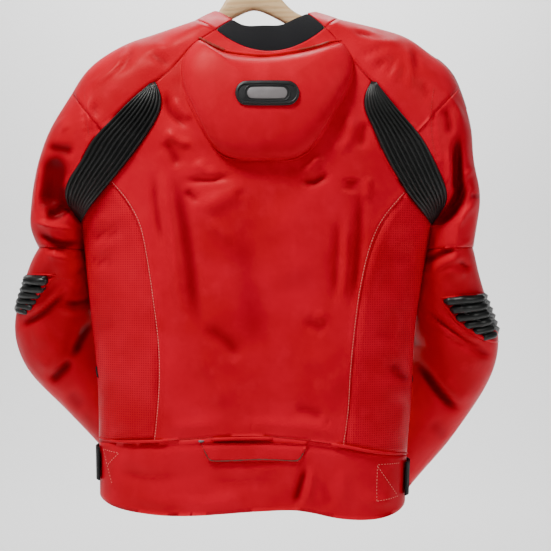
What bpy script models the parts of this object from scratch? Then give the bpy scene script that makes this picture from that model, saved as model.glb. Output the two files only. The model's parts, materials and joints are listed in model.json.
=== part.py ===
"""Leather motorcycle jacket hanging on a wooden hanger, modelled as its sewn pieces.

Lengths are millimetres while a piece is worked out, and metres in the finished mesh.
The wearer's right is +X, the back of the jacket faces -Y and +Z is up.  Heights are
counted from a reference line at the hem.  The origin is the point inside the hook
where the hanger bears on its rail.

Every leather panel is a wall between two grids of points.  Neighbouring panels take the
points of their common seam from each other and share the normals there, so their
edges stay parallel and a constant gap apart.
"""

import math
from typing import NamedTuple

import bmesh
import bpy
import numpy as np

COLLECTION_NAME = "leather_motorcycle_jacket"
METRES = 0.001

# Driving dimensions
HOOK_HEIGHT = 790.0          # inside of the hook above the hem line
HOOK_X = -5.0                # the hanger's middle plane
LEATHER = 2.0                # thickness of the leather walls
KNIT = 2.4                   # wall under the ribs of the stretch panels
SEAM_GAP = 0.4               # air between two neighbouring pieces
LAY_GAP = 0.6                # air under a piece that lies on a panel
ROUNDNESS = 2.4              # exponent of the body's rounded oval sections
SIDE_SEAM_ANGLE = 97.0       # degrees round the body from the middle of the back
ARMPIT_HEIGHT = 390.0
ZIP_HALF_WIDTH = 9.0
CENTRE_AT_HEM, CENTRE_AT_NECK, NECK_HEIGHT = -5.0, 15.0, 640.0

# Resolution of the grids, counted in strips of faces
BACK_COLUMNS = 12
SIDE_COLUMNS = 4
FRONT_COLUMNS = 7
BODY_ROWS = 9                # waist seam to armpit
BAND_ROWS = 2                # hem to waist seam
STRETCH_ROWS = 8             # stretch panel beside the middle of the back
STRETCH_LOW_ROWS = 3         # stretch panel above the side of the back
RAGLAN_ROWS = 4              # stretch panel to neck
ARC_COLUMNS = 6              # half of a sleeve's section
COLLAR_ROWS = 2


class Girth(NamedTuple):
    """One level of the body: half widths to each side, depths to back and front."""

    height: float
    left: float
    right: float
    back: float
    front: float


BODY = (
    Girth(0, 212, 200, 84, 80),
    Girth(50, 212, 201, 85, 82),
    Girth(108, 213, 204, 86, 81),
    Girth(157, 214, 209, 88, 82),
    Girth(211, 217, 210, 91, 83),
    Girth(258, 223, 214, 92, 84),
    Girth(311, 228, 221, 92, 85),
    Girth(352, 232, 229, 92, 86),
    Girth(390, 236, 236, 93, 87),
    Girth(430, 246, 245, 96, 88),
    Girth(470, 254, 254, 98, 88),
    Girth(520, 258, 258, 97, 85),
    Girth(570, 254, 256, 90, 76),
    Girth(620, 235, 240, 76, 54),
    Girth(665, 210, 215, 62, 26),
)


class Level(NamedTuple):
    """Heights of the hem and of the waist seam at one angle round the body."""

    angle: float
    hem: float
    waist: float


LEVELS = (
    Level(-185, 30, 104),
    Level(-120, 33, 103),
    Level(-90, 36, 102),
    Level(-60, 22, 106),
    Level(-39, 16, 109),
    Level(-17, 16, 115),
    Level(0, 22, 119),
    Level(10, 24, 115),
    Level(27, 12, 106),
    Level(38, 6, 99),
    Level(50, 7, 92),
    Level(70, 15, 87),
    Level(90, 27, 86),
    Level(120, 30, 94),
    Level(185, 30, 104),
)


class Fold(NamedTuple):
    """A soft ridge (+) or trough (-) of the back, along a line from (x, height)."""

    x: float
    height: float
    end_x: float
    end_height: float
    half_width: float
    rise: float


FOLDS = (
    Fold(-150, 300, -95, 150, 26, 4.0),
    Fold(-96, 420, -70, 250, 30, 4.0),
    Fold(-120, 250, -60, 180, 24, -3.5),
    Fold(95, 430, 70, 270, 30, 4.0),
    Fold(130, 330, 96, 170, 26, 3.5),
    Fold(20, 400, -30, 300, 42, 3.0),
    Fold(60, 250, 0, 160, 34, -3.0),
    Fold(-178, 400, -200, 260, 18, -3.0),
    Fold(178, 390, 190, 260, 18, -3.0),
)


class Point(NamedTuple):
    """A point of a seam: distance outward from the middle plane, height and depth."""

    out: float
    height: float
    depth: float = 0.0


class Station(NamedTuple):
    """A section of the sleeve below the armpit."""

    out: float
    height: float
    half_width: float
    depth: float
    half_depth: float


class Side(NamedTuple):
    """The seams of one side of the jacket, as it hangs."""

    key: str
    sign: int
    princess: tuple
    stretch_inner: tuple
    raglan: tuple
    stretch_outer: tuple
    silhouette: tuple
    front_seam: tuple
    stations: tuple


LEFT = Side(
    key="l",
    sign=-1,
    princess=(Point(133, 111), Point(129, 138), Point(124, 190), Point(125, 235), Point(129, 267),
              Point(134, 312), Point(140, 350), Point(149, 382), Point(162, 412), Point(188, 444)),
    stretch_inner=(Point(188, 444), Point(155, 482), Point(135, 510), Point(121, 536),
                   Point(120, 551), Point(129, 571)),
    raglan=(Point(129, 571), Point(104, 592), Point(88, 614), Point(66, 633), Point(52, 641)),
    stretch_outer=(Point(240, 402, -21), Point(245, 414, -44), Point(249, 428, -61),
                   Point(240, 449, -74), Point(223, 473, -80), Point(208, 500, -83),
                   Point(189, 519, -84), Point(164, 544, -84), Point(136, 569, -81)),
    silhouette=(Point(84, 662), Point(112, 653), Point(143, 643), Point(165, 637), Point(188, 626),
                Point(226, 599), Point(251, 559), Point(276, 519), Point(291, 479, 2),
                Point(302, 426, 6), Point(306, 386, 10)),
    front_seam=(Point(62, 632), Point(95, 605), Point(118, 575), Point(135, 540), Point(150, 505),
                Point(168, 470), Point(189, 438), Point(212, 414)),
    stations=(Station(268, 360, 27, 18, 70), Station(274, 335, 35, 26, 70),
              Station(279, 305, 43, 42, 68), Station(282, 275, 52, 52, 66),
              Station(282, 247, 59, 62, 66), Station(273, 219, 58, 72, 62),
              Station(248, 192, 56, 84, 57), Station(222, 160, 54, 96, 54),
              Station(198, 128, 51, 105, 51), Station(175, 95, 47, 114, 48),
              Station(155, 66, 43, 121, 44), Station(143, 48, 42, 125, 42)),
)

RIGHT = Side(
    key="r",
    sign=1,
    princess=(Point(115, 105), Point(120, 164), Point(124, 215), Point(127, 248), Point(131, 280),
              Point(136, 312), Point(143, 344), Point(153, 370), Point(166, 397), Point(194, 431)),
    stretch_inner=(Point(194, 431), Point(165, 477), Point(148, 515), Point(138, 538),
                   Point(138, 553), Point(148, 572)),
    raglan=(Point(148, 572), Point(126, 598), Point(110, 620), Point(100, 634), Point(89, 644)),
    stretch_outer=(Point(240, 402, -21), Point(245, 414, -43), Point(248, 427, -61),
                   Point(241, 444, -73), Point(233, 461, -78), Point(217, 493, -82),
                   Point(204, 511, -83), Point(185, 532, -84), Point(154, 571, -81)),
    silhouette=(Point(110, 664), Point(136, 659), Point(163, 653), Point(205, 640), Point(225, 624),
                Point(259, 599), Point(276, 559), Point(287, 519), Point(289, 479, 2),
                Point(300, 432, 6), Point(295, 386, 10)),
    front_seam=(Point(92, 632), Point(112, 605), Point(128, 575), Point(142, 540), Point(155, 505),
                Point(172, 470), Point(192, 438), Point(214, 414)),
    stations=(Station(266, 360, 26, 18, 70), Station(268, 336, 31, 26, 70),
              Station(270, 305, 39, 40, 68), Station(273, 280, 47, 50, 67),
              Station(276, 260, 53, 57, 66), Station(279, 240, 59, 63, 66), Station(276, 213, 60, 70, 62),
              Station(262, 180, 58, 82, 58), Station(243, 145, 55, 94, 55),
              Station(225, 112, 52, 104, 52), Station(203, 80, 48, 114, 48),
              Station(184, 50, 44, 121, 44), Station(174, 32, 42, 125, 42)),
)
SIDES = (LEFT, RIGHT)


class Finish(NamedTuple):
    """Colour, roughness and metallic value of a material."""

    colour: tuple
    roughness: float
    metallic: float = 0.0


FINISHES = {
    "red_leather": Finish((0.62, 0.012, 0.018, 1), 0.42),
    "stretch_black": Finish((0.022, 0.023, 0.025, 1), 0.62),
    "collar_black": Finish((0.014, 0.014, 0.016, 1), 0.85),
    "webbing_black": Finish((0.018, 0.018, 0.02, 1), 0.8),
    "badge_rubber": Finish((0.02, 0.02, 0.02, 1), 0.5),
    "plate_black": Finish((0.015, 0.015, 0.016, 1), 0.35),
    "zip_metal": Finish((0.35, 0.34, 0.33, 1), 0.35, 1.0),
    "hanger_wood": Finish((0.62, 0.40, 0.20, 1), 0.45),
    "hook_steel": Finish((0.6, 0.6, 0.6, 1), 0.25, 1.0),
}


def hermite(table_x, table_y, at):
    """Read a smooth curve through a table's values at one or more places."""
    xs, ys = np.asarray(table_x, float), np.asarray(table_y, float)
    slopes = np.gradient(ys, xs)
    at = np.clip(np.asarray(at, float), xs[0], xs[-1])
    low = np.clip(np.searchsorted(xs, at, side="right") - 1, 0, len(xs) - 2)
    width = xs[low + 1] - xs[low]
    t = (at - xs[low]) / width
    return ((2 * t**3 - 3 * t**2 + 1) * ys[low] + (t**3 - 2 * t**2 + t) * width * slopes[low]
            + (3 * t**2 - 2 * t**3) * ys[low + 1] + (t**3 - t**2) * width * slopes[low + 1])


def body_level(column, height):
    """Read one column of the body's table at a height."""
    return hermite([row.height for row in BODY], [getattr(row, column) for row in BODY], height)


def band_level(column, angle):
    """Read the height of the hem or the waist seam at an angle round the body."""
    return hermite([row.angle for row in LEVELS], [getattr(row, column) for row in LEVELS], angle)


def along(points, count):
    """Place evenly spaced points on a smooth curve through the given ones."""
    points = np.asarray(points, float)
    steps = np.linalg.norm(np.diff(points, axis=0), axis=1)
    place = np.concatenate(([0.0], np.cumsum(steps)))
    fine = np.linspace(0.0, place[-1], 40 * len(points))
    curve = np.stack([hermite(place, points[:, axis], fine) for axis in range(3)], axis=1)
    length = np.concatenate(([0.0], np.cumsum(np.linalg.norm(np.diff(curve, axis=0), axis=1))))
    at = np.linspace(0.0, length[-1], count)
    return np.stack([np.interp(at, length, curve[:, axis]) for axis in range(3)], axis=1)


def fold_rise(x, height):
    """Add up the folds of the back at a point."""
    rise = 0.0
    for fold in FOLDS:
        run_x, run_h = fold.end_x - fold.x, fold.end_height - fold.height
        length_squared = run_x**2 + run_h**2
        place = ((x - fold.x) * run_x + (height - fold.height) * run_h) / length_squared
        nearest = min(max(place, 0.0), 1.0)
        away = math.hypot(x - fold.x - nearest * run_x, height - fold.height - nearest * run_h)
        rise += fold.rise * math.exp(-((away / fold.half_width) ** 2))
    return rise


def body_point(angle, height, lift=0.0):
    """Give the point of the body's oval at an angle from the middle of the back."""
    turn = math.radians(angle)
    sine, cosine = math.sin(turn), math.cos(turn)
    power = 2.0 / ROUNDNESS
    half = body_level("left" if sine < 0 else "right", height)
    deep = body_level("back" if cosine > 0 else "front", height)
    x = half * math.copysign(abs(sine) ** power, sine)
    y = -deep * math.copysign(abs(cosine) ** power, cosine)
    out = np.array([x / half**2, y / deep**2])
    out /= np.linalg.norm(out)
    if cosine > 0:
        lift += fold_rise(x, height) * min(1.0, 3.0 * cosine)
    return np.array([x + lift * out[0], y + lift * out[1], height])


def body_angle(x, height, front=False):
    """Turn a distance from the middle plane into an angle round the body."""
    half = body_level("left" if x < 0 else "right", height)
    angle = math.degrees(math.asin(min(1.0, (abs(x) / half) ** (ROUNDNESS / 2))))
    return math.copysign(180.0 - angle if front else angle, x)


def back_point(x, height, lift=0.0):
    """Give the point of the back above a place seen from behind."""
    return body_point(body_angle(x, height), height, lift)


def centre_x(height):
    """Give the middle line of the front, which leans a little as the jacket hangs."""
    return CENTRE_AT_HEM + (CENTRE_AT_NECK - CENTRE_AT_HEM) * height / NECK_HEIGHT


def lerp(start, end, share):
    """Mix two values or points."""
    return start + (end - start) * share


def arch(share):
    """Give 1 in the middle of a run and 0 at its ends."""
    return 4.0 * share * (1.0 - share)


class Panel:
    """A wall of the garment: a grid of points, seen from outside, and what it is made of."""

    def __init__(self, name, points, finish="red_leather", axis=(0.0, 0.0), inner=-LEATHER,
                 outer=0.0, relief=0.0, sleeve=False):
        """Keep the grid, as rows of points, and turn it so that its faces look outward.

        axis is where the inside lies: a middle line (x, y), or None for each row's middle.
        inner and outer are the wall's two faces, measured outward from the grid.
        """
        self.name, self.finish, self.sleeve = name, finish, sleeve
        self.inner, self.outer, self.relief = inner, outer, np.asarray(relief, float)
        self.points = np.array(points, float)
        if axis is None:
            middle = self.points.mean(axis=1, keepdims=True)
        else:
            middle = np.concatenate([np.full(self.points.shape[:2] + (1,), axis[0]),
                                     np.full(self.points.shape[:2] + (1,), axis[1]),
                                     self.points[..., 2:]], axis=2)
        self.normals = self.own_normals()
        self.turned = np.sum(self.normals * (self.points - middle)) < 0
        self.normals = self.own_normals()

    def face_normals(self):
        """Give each quad's normal, as long as twice the quad's area."""
        p = self.points
        normal = np.cross(p[1:, 1:] - p[:-1, :-1], p[1:, :-1] - p[:-1, 1:])
        return -normal if getattr(self, "turned", False) else normal

    def own_normals(self):
        """Average the quads' normals at each point of this grid alone."""
        quads = self.face_normals()
        total = np.zeros_like(self.points)
        for rows in (slice(None, -1), slice(1, None)):
            for columns in (slice(None, -1), slice(1, None)):
                total[rows, columns] += quads
        return unit(total)

    def places(self):
        """List each grid index with its point, rounded so that shared points agree."""
        rounded = np.round(self.points, 2)
        return [(index, tuple(rounded[index])) for index in np.ndindex(rounded.shape[:2])]

    def at(self, row, column):
        """Read the grid's surface between its points: a place and the normal there."""
        low_row = min(int(row), self.points.shape[0] - 2)
        low_column = min(int(column), self.points.shape[1] - 2)
        down, across = row - low_row, column - low_column
        read = []
        for values in (self.points, self.normals):
            near = values[low_row:low_row + 2, low_column:low_column + 2]
            read.append(lerp(lerp(near[0, 0], near[0, 1], across),
                             lerp(near[1, 0], near[1, 1], across), down))
        return read[0], unit(read[1])


def unit(vectors):
    """Scale vectors to length one."""
    length = np.linalg.norm(vectors, axis=-1, keepdims=True)
    return vectors / np.maximum(length, 1e-9)


CREASE_COSINE = 0.3          # walls that turn away from each other keep their own normals


def share_normals(panels):
    """Give sewn panels one normal at each point that they have in common."""
    sums = {}
    for panel in panels:
        quads = panel.face_normals()
        for (row, column), place in panel.places():
            around = quads[max(row - 1, 0):row + 1, max(column - 1, 0):column + 1]
            at_place = sums.setdefault(place, {True: np.zeros(3), False: np.zeros(3)})
            at_place[panel.sleeve] += around.sum(axis=(0, 1))
    for panel in panels:
        for (row, column), place in panel.places():
            own, other = unit(sums[place][panel.sleeve]), unit(sums[place][not panel.sleeve])
            folded = np.dot(own, other) < CREASE_COSINE and np.any(other)
            panel.normals[row, column] = own if folded else unit(own + other)


def drawn_back(points):
    """Draw the edges of a grid back by half a seam gap."""
    points = points.copy()
    half = SEAM_GAP / 2.0
    for turn in (0, 1):
        grid = np.swapaxes(points, 0, turn)
        first = unit(grid[1] - grid[0]) * half
        last = unit(grid[-2] - grid[-1]) * half
        grid[0] += first
        grid[-1] += last
    return points


def to_world(points):
    """Move points from the pattern's millimetres to metres below the hook."""
    shifted = np.asarray(points, float) - np.array([HOOK_X, 0.0, HOOK_HEIGHT])
    return shifted * METRES


def material(finish):
    """Make a finish's material, or find the one that is there."""
    found = bpy.data.materials.get(finish)
    if found:
        return found
    values = FINISHES[finish]
    made = bpy.data.materials.new(finish)
    made.use_nodes = True
    shader = made.node_tree.nodes["Principled BSDF"]
    shader.inputs["Base Color"].default_value = values.colour
    shader.inputs["Roughness"].default_value = values.roughness
    shader.inputs["Metallic"].default_value = values.metallic
    return made


def add_object(name, mesh, finish):
    """Put a mesh in the garment's collection under its node's name."""
    piece = bpy.data.objects.new(name, mesh)
    mesh.materials.clear()
    mesh.materials.append(material(finish))
    bpy.data.collections[COLLECTION_NAME].objects.link(piece)
    return piece


def closed_mesh(name, points, faces, finish):
    """Make an object from a closed set of faces, shaded smooth but for its rims."""
    mesh = bpy.data.meshes.new(name)
    mesh.from_pydata([tuple(point) for point in to_world(points)], [], faces)
    mesh.validate()
    mesh.shade_smooth()
    mesh.set_sharp_from_angle(angle=math.radians(50))
    return add_object(name, mesh, finish)


def build_wall(panel):
    """Turn a panel into a closed wall: its outer face, its inner face and four rims."""
    rows, columns = panel.points.shape[:2]
    middle = drawn_back(panel.points)
    outer = middle + panel.normals * (panel.outer + panel.relief)[..., None]
    inner = middle + panel.normals * panel.inner
    count = rows * columns
    faces = []
    for row in range(rows - 1):
        for column in range(columns - 1):
            corner = row * columns + column
            quad = (corner, corner + 1, corner + columns + 1, corner + columns)
            if not panel.turned:
                quad = quad[::-1]
            faces.append(quad[::-1])
            faces.append(tuple(index + count for index in quad))
    bottom = [column for column in range(columns)]
    right = [row * columns + columns - 1 for row in range(1, rows)]
    top = [(rows - 1) * columns + column for column in range(columns - 2, -1, -1)]
    left = [row * columns for row in range(rows - 2, 0, -1)]
    rim = bottom + right + top + left
    for here, there in zip(rim, rim[1:] + rim[:1]):
        quad = (here, there, there + count, here + count)
        faces.append(quad if panel.turned else quad[::-1])
    points = np.concatenate([outer.reshape(-1, 3), inner.reshape(-1, 3)])
    return closed_mesh(panel.name, points, faces, panel.finish)


def princess_rows(side):
    """Place the rows of one princess seam, from the waist seam to the stretch panel."""
    seam = along([(side.sign * p.out, 0.0, p.height) for p in side.princess], BODY_ROWS + 1)
    start = body_angle(seam[0, 0], seam[0, 2])
    seam[0, 2] = band_level("waist", start)
    return [back_point(x, height) for x, _, height in seam]


def back_edge(side):
    """Place the side edge of the back's middle panel: princess, stretch panel, raglan."""
    edge = princess_rows(side)
    for seam, rows in ((side.stretch_inner, STRETCH_ROWS), (side.raglan, RAGLAN_ROWS)):
        places = along([(side.sign * p.out, 0.0, p.height) for p in seam], rows + 1)
        edge += [back_point(x, height) for x, _, height in places[1:]]
    return np.array(edge)


NECK_DIP = 31.0              # drop of the neckline at the middle of the back
NECK_DIP_ROWS = 9


def back_centre_grid(left, right):
    """Fill the back between its two side edges, down into the curve of the neckline."""
    rows = len(left)
    grid = np.zeros((rows, BACK_COLUMNS + 1, 3))
    for row in range(rows):
        low = max(0.0, 1.0 - row / BODY_ROWS) ** 3
        dip = NECK_DIP * max(0.0, row - (rows - 1 - NECK_DIP_ROWS)) / NECK_DIP_ROWS
        for column in range(BACK_COLUMNS + 1):
            share = column / BACK_COLUMNS
            x = lerp(left[row, 0], right[row, 0], share)
            height = lerp(left[row, 2], right[row, 2], share) - dip * arch(share)
            if low:
                start_x = lerp(left[0, 0], right[0, 0], share)
                level = band_level("waist", body_angle(start_x, left[0, 2]))
                height += low * (level - lerp(left[0, 2], right[0, 2], share))
            grid[row, column] = back_point(x, height)
    grid[:, 0], grid[:, -1] = left, right
    return grid


STRETCH_SAG = 16.0           # hollow of the seam between side panel and stretch panel


def back_side_grid(side, edge):
    """Fill the side of the back, from the princess seam round to the side seam."""
    angle_end = side.sign * SIDE_SEAM_ANGLE
    grid = np.zeros((BODY_ROWS + 1, SIDE_COLUMNS + 1, 3))
    for row in range(BODY_ROWS + 1):
        rise = row / BODY_ROWS
        angle_start = body_angle(edge[row, 0], edge[row, 2])
        end_height = lerp(band_level("waist", angle_end), ARMPIT_HEIGHT, rise)
        for column in range(SIDE_COLUMNS + 1):
            share = column / SIDE_COLUMNS
            angle = lerp(angle_start, angle_end, share)
            height = lerp(edge[row, 2], end_height, share) - STRETCH_SAG * rise**3 * arch(share)
            straight = lerp(edge[0, 2], band_level("waist", angle_end), share)
            height += (1.0 - rise) ** 3 * (band_level("waist", angle) - straight)
            grid[row, column] = body_point(angle, height)
    grid[:, 0] = edge[:BODY_ROWS + 1]
    return grid


def front_angle(side, x, height):
    """Give the angle of a place on the front, past 180 degrees beyond the middle plane."""
    outward = abs(body_angle(x, height)) * math.copysign(1.0, x * side.sign)
    return side.sign * (180.0 - outward)


CHEST_HEIGHT = 396.0         # middle of the front level with the armpits
FRONT_NECK_HEIGHT = 566.0
FRONT_NECK_HOLLOW = 17.0


def front_seam_points(side, armpit, count):
    """Place the armhole seam of a front, from the armpit up to the neck."""
    corners = [(p.out, 0.0, p.height) for p in side.front_seam]
    places = along(corners + [(abs(armpit[0]), 0.0, armpit[2])], count)
    angles = [front_angle(side, side.sign * out, height) for out, _, height in places]
    seam = [body_point(angle, place[2]) for angle, place in zip(angles, places)]
    return np.array(seam[:-1] + [armpit])[::-1]


def front_grid(side, side_edge, sections):
    """Fill one front, from the side seam and the armhole to the zip."""
    armhole = front_seam_points(side, side_edge[-1], sections)
    outer_edge = np.concatenate([side_edge, armhole[1:]])
    grid = np.zeros((len(outer_edge), FRONT_COLUMNS + 1, 3))
    for row, start in enumerate(outer_edge):
        rise = min(1.0, row / BODY_ROWS)
        upper = max(0.0, (row - BODY_ROWS) / (sections - 1))
        middle = lerp(band_level("waist", 180.0), CHEST_HEIGHT, rise)
        middle = lerp(middle, FRONT_NECK_HEIGHT, upper)
        zip_x = centre_x(middle) + side.sign * ZIP_HALF_WIDTH
        first = side.sign * SIDE_SEAM_ANGLE if row <= BODY_ROWS else front_angle(side, start[0],
                                                                                 start[2])
        last = front_angle(side, zip_x, middle)
        for column in range(FRONT_COLUMNS + 1):
            share = column / FRONT_COLUMNS
            angle = lerp(first, last, share)
            height = lerp(start[2], middle, share) - FRONT_NECK_HOLLOW * upper**3 * arch(share)
            straight = lerp(outer_edge[0, 2], band_level("waist", 180.0), share)
            height += (1.0 - rise) ** 3 * (band_level("waist", angle) - straight)
            grid[row, column] = body_point(angle, height)
    grid[:, 0] = outer_edge
    return grid


def band_grid(waist_edge):
    """Hang a stretch of the waistband below a panel's bottom edge."""
    grid = np.zeros((BAND_ROWS + 1, len(waist_edge), 3))
    for column, top in enumerate(waist_edge):
        front = top[1] > 0
        angle = body_angle(top[0], top[2], front)
        for row in range(BAND_ROWS + 1):
            height = lerp(band_level("hem", angle), top[2], row / BAND_ROWS)
            grid[row, column] = body_point(angle, height)
    grid[-1] = waist_edge
    return grid


ARC_FULLNESS = 0.6           # reach of the curve handles of a shoulder section
HALF_OVAL = 4.0 / 3.0        # reach that gives half an oval its full depth
UNDERARM_DEPTH = 72.0
UNDERARM_SECTIONS = 7        # sections above the armpit that are closing into a tube


def half_arc(seam, outer, depth, toward):
    """Curve from a seam round to the sleeve's outer line, on its back or its front half."""
    reach = max(depth, (seam[1] - outer[1]) * toward)
    flat = min(1.0, max(0.0, (seam[1] - outer[1]) * toward / reach))
    run = (outer - seam) * ARC_FULLNESS * flat * np.array([1.0, 0.0, 1.0])
    across = np.array([0.0, toward * reach, 0.0])
    handle = seam + run + across * HALF_OVAL * (1.0 - flat)
    far_handle = outer + across * lerp(HALF_OVAL, ARC_FULLNESS, flat)
    points = []
    for step in range(ARC_COLUMNS + 1):
        t = step / ARC_COLUMNS
        points.append((1 - t)**3 * seam + 3 * (1 - t)**2 * t * handle
                      + 3 * (1 - t) * t**2 * far_handle + t**3 * outer)
    return points


def sleeve_section(back_seam, outer, front_seam, back_depth, front_depth):
    """Go once round the sleeve: back seam, outer line, front seam."""
    back = half_arc(back_seam, outer, back_depth, -1.0)
    front = half_arc(front_seam, outer, front_depth, 1.0)
    return back + front[-2::-1]


def sleeve_grid(side, back_seam, front_seam):
    """Lay the sleeve's sections from the neck over the shoulder and down to the cuff."""
    count = len(back_seam)
    outer_line = along([(side.sign * p.out, p.depth, p.height) for p in side.silhouette], count)
    grid = []
    for index in range(count):
        closing = index >= count - UNDERARM_SECTIONS
        depth = UNDERARM_DEPTH if closing else 0.0
        grid.append(sleeve_section(back_seam[index], outer_line[index], front_seam[index],
                                   depth, depth))
    armpit_middle = (back_seam[-1] + outer_line[-1]) / 2.0
    middles = [armpit_middle] + [np.array([side.sign * s.out, s.depth, s.height])
                                 for s in side.stations]
    for index, station in enumerate(side.stations):
        here = middles[index + 1]
        after = middles[min(index + 2, len(middles) - 1)]
        run = (after - middles[index]) * np.array([1.0, 0.0, 1.0])
        run /= np.linalg.norm(run)
        across = side.sign * np.array([-run[2], 0.0, run[0]])
        inner, outer = here - across * station.half_width, here + across * station.half_width
        grid.append(sleeve_section(inner, outer, inner, station.half_depth, station.half_depth))
    return np.array(grid)


RIBS = 9
RIB_HEIGHT = 2.4
RIB_START_WIDTH = 22.0       # the ribs run out where the panel is narrower
STRETCH_CROWN = 3.0          # how far the ribbed panel swells between its seams


def stretch_grid(inner_edge, outer_edge):
    """Span the ribbed panel between its two seams, slightly swollen."""
    columns = 2 * RIBS
    grid = np.zeros((len(inner_edge), columns + 1, 3))
    for column in range(columns + 1):
        share = column / columns
        grid[:, column] = lerp(inner_edge, outer_edge, share)
        grid[1:-1, column, 1] -= STRETCH_CROWN * arch(share)
    grid[:, 0], grid[:, -1] = inner_edge, outer_edge
    return grid


COLLAR_BULGE = 2.0
COLLAR_TOP_BACK = (Point(-31, 661, -36), Point(-20, 653, -42), Point(11, 651, -48),
                   Point(33, 652, -46), Point(50, 661, -42), Point(67, 669, -36))
COLLAR_TOP_LEFT = (Point(-31, 661, -36), Point(-57, 677, -10), Point(-62, 673, 15),
                   Point(-48, 652, 40), Point(-24, 630, 56), Point(4, 613, 64))
COLLAR_TOP_RIGHT = (Point(67, 669, -36), Point(81, 675, -10), Point(84, 672, 15),
                    Point(73, 652, 40), Point(50, 630, 56), Point(23, 613, 64))


def collar_grid(neck_edge, top_corners):
    """Stand a stretch of the collar on the neckline."""
    base = np.asarray(neck_edge, float)
    length = np.concatenate(([0.0], np.cumsum(np.linalg.norm(np.diff(base, axis=0), axis=1))))
    fine = along([(p.out, p.depth, p.height) for p in top_corners], 200)
    places = np.linspace(0.0, 1.0, len(fine))
    top = np.stack([np.interp(length / length[-1], places, fine[:, axis]) for axis in range(3)],
                   axis=1)
    axis_point = np.array([CENTRE_AT_NECK, 0.0, 0.0])
    outward = unit((base - axis_point) * np.array([1.0, 1.0, 0.0]))
    grid = []
    for row in range(COLLAR_ROWS + 1):
        share = row / COLLAR_ROWS
        grid.append(lerp(base, top, share) + outward * COLLAR_BULGE * arch(share))
    return np.array(grid)


ZIP_TEETH_HALF_WIDTH = 3.0
ZIP_TEETH_HEIGHT = 1.2


def zip_grid(left_edge, right_edge):
    """Span the zip's tapes and teeth between the two fronts."""
    shares = [0.0, 0.5 - ZIP_TEETH_HALF_WIDTH / (2 * ZIP_HALF_WIDTH),
              0.5 + ZIP_TEETH_HALF_WIDTH / (2 * ZIP_HALF_WIDTH), 1.0]
    return np.stack([lerp(left_edge, right_edge, share) for share in shares], axis=1)


def garment_panels():
    """Make every sewn panel of the jacket, and each whole sleeve for what lies on it."""
    panels, sleeves, zip_edges, band_edges = {}, {}, {}, {}
    edges = {side.key: back_edge(side) for side in SIDES}
    centre = back_centre_grid(edges["l"], edges["r"])

    def add(name, points, *place, **options):
        panels[name] = Panel(name, points, *place, **options)
        return panels[name]

    add("back_centre", centre)
    add("collar_back", collar_grid(centre[-1], COLLAR_TOP_BACK), "collar_black",
        axis=(CENTRE_AT_NECK, 0.0))
    for side in SIDES:
        edge, key = edges[side.key], side.key
        back_side = back_side_grid(side, edge)
        lower, upper = back_side[-1, :STRETCH_LOW_ROWS + 1][::-1], edge[BODY_ROWS + 1:]
        inner_edge = np.concatenate([lower, upper[:STRETCH_ROWS]])
        outer_edge = along([(side.sign * p.out, p.depth, p.height) for p in side.stretch_outer],
                           len(inner_edge))
        back_seam = np.concatenate([edge[::-1][:RAGLAN_ROWS + 1], outer_edge[::-1],
                                    back_side[-1, STRETCH_LOW_ROWS:]])
        front = front_grid(side, back_side[:, -1], len(back_seam))
        front_seam = front[BODY_ROWS:, 0][::-1]
        sleeve = sleeve_grid(side, back_seam, front_seam)
        width = np.linalg.norm(outer_edge - inner_edge, axis=1)
        full = np.clip(width / RIB_START_WIDTH - 1.0, 0.0, 1.0)
        sleeves[side.key] = Panel("sleeve_" + side.key, sleeve, axis=None)
        relief = full[:, None] * (np.arange(2 * RIBS + 1) % 2) * RIB_HEIGHT

        add("back_side_" + key, back_side)
        add("front_" + key, front)
        add("shoulder_stretch_" + key, stretch_grid(inner_edge, outer_edge), "stretch_black",
            inner=-KNIT, relief=relief)
        first, second = SADDLE_SECTIONS, len(back_seam) + UPPER_STATIONS
        cuff = len(sleeve) - 1 - CUFF_STATIONS
        for name, start, end in (("shoulder_", 0, first), ("sleeve_upper_", first, second),
                                 ("sleeve_lower_", second, cuff), ("cuff_", cuff, len(sleeve))):
            add(name + key, sleeve[start:end + 1], axis=None, sleeve=True)

        neck_edge = np.concatenate([sleeve[0], front[-1][1:]])
        tops = COLLAR_TOP_LEFT if side.sign < 0 else COLLAR_TOP_RIGHT
        collar = add("collar_" + key, collar_grid(neck_edge, tops), axis=(CENTRE_AT_NECK, 0.0))
        band = add("waistband_front_" + key, band_grid(front[0]))
        zip_edges[key] = np.concatenate([band.points[:-1, -1], front[:, -1],
                                         collar.points[1:, -1]])
        band_edges[key] = back_side[0]
    back_waist = np.concatenate([band_edges["l"][::-1], centre[0][1:-1], band_edges["r"]])
    add("waistband_back", band_grid(back_waist))
    relief = np.array([0.0, ZIP_TEETH_HEIGHT, ZIP_TEETH_HEIGHT, 0.0])
    add("main_zip", zip_grid(zip_edges["l"], zip_edges["r"]), "webbing_black", relief=relief)
    share_normals(panels.values())
    return panels, sleeves


SADDLE_SECTIONS = 9          # neck to the seam across the shoulder
UPPER_STATIONS = 0           # sections below the armpit in the upper sleeve
CUFF_STATIONS = 1


HUMP_CENTRE = (14.0, 550.0)
HUMP_OUTLINE = ((-73, 628), (-92, 608), (-97, 585), (-92, 558), (-81, 534), (-64, 502), (-50, 482),
                (-30, 472), (14, 470), (50, 472), (68, 483), (87, 508), (112, 550), (124, 580),
                (123, 604), (109, 625), (92, 619), (49, 607), (7, 602), (-39, 608))
HUMP_RINGS = (1.0, 0.94, 0.82, 0.62, 0.34)
HUMP_RISES = (4.0, 13.0, 20.0, 24.0, 26.0)
HUMP_TOP = 27.0
HUMP_SPOKES = 40


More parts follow.
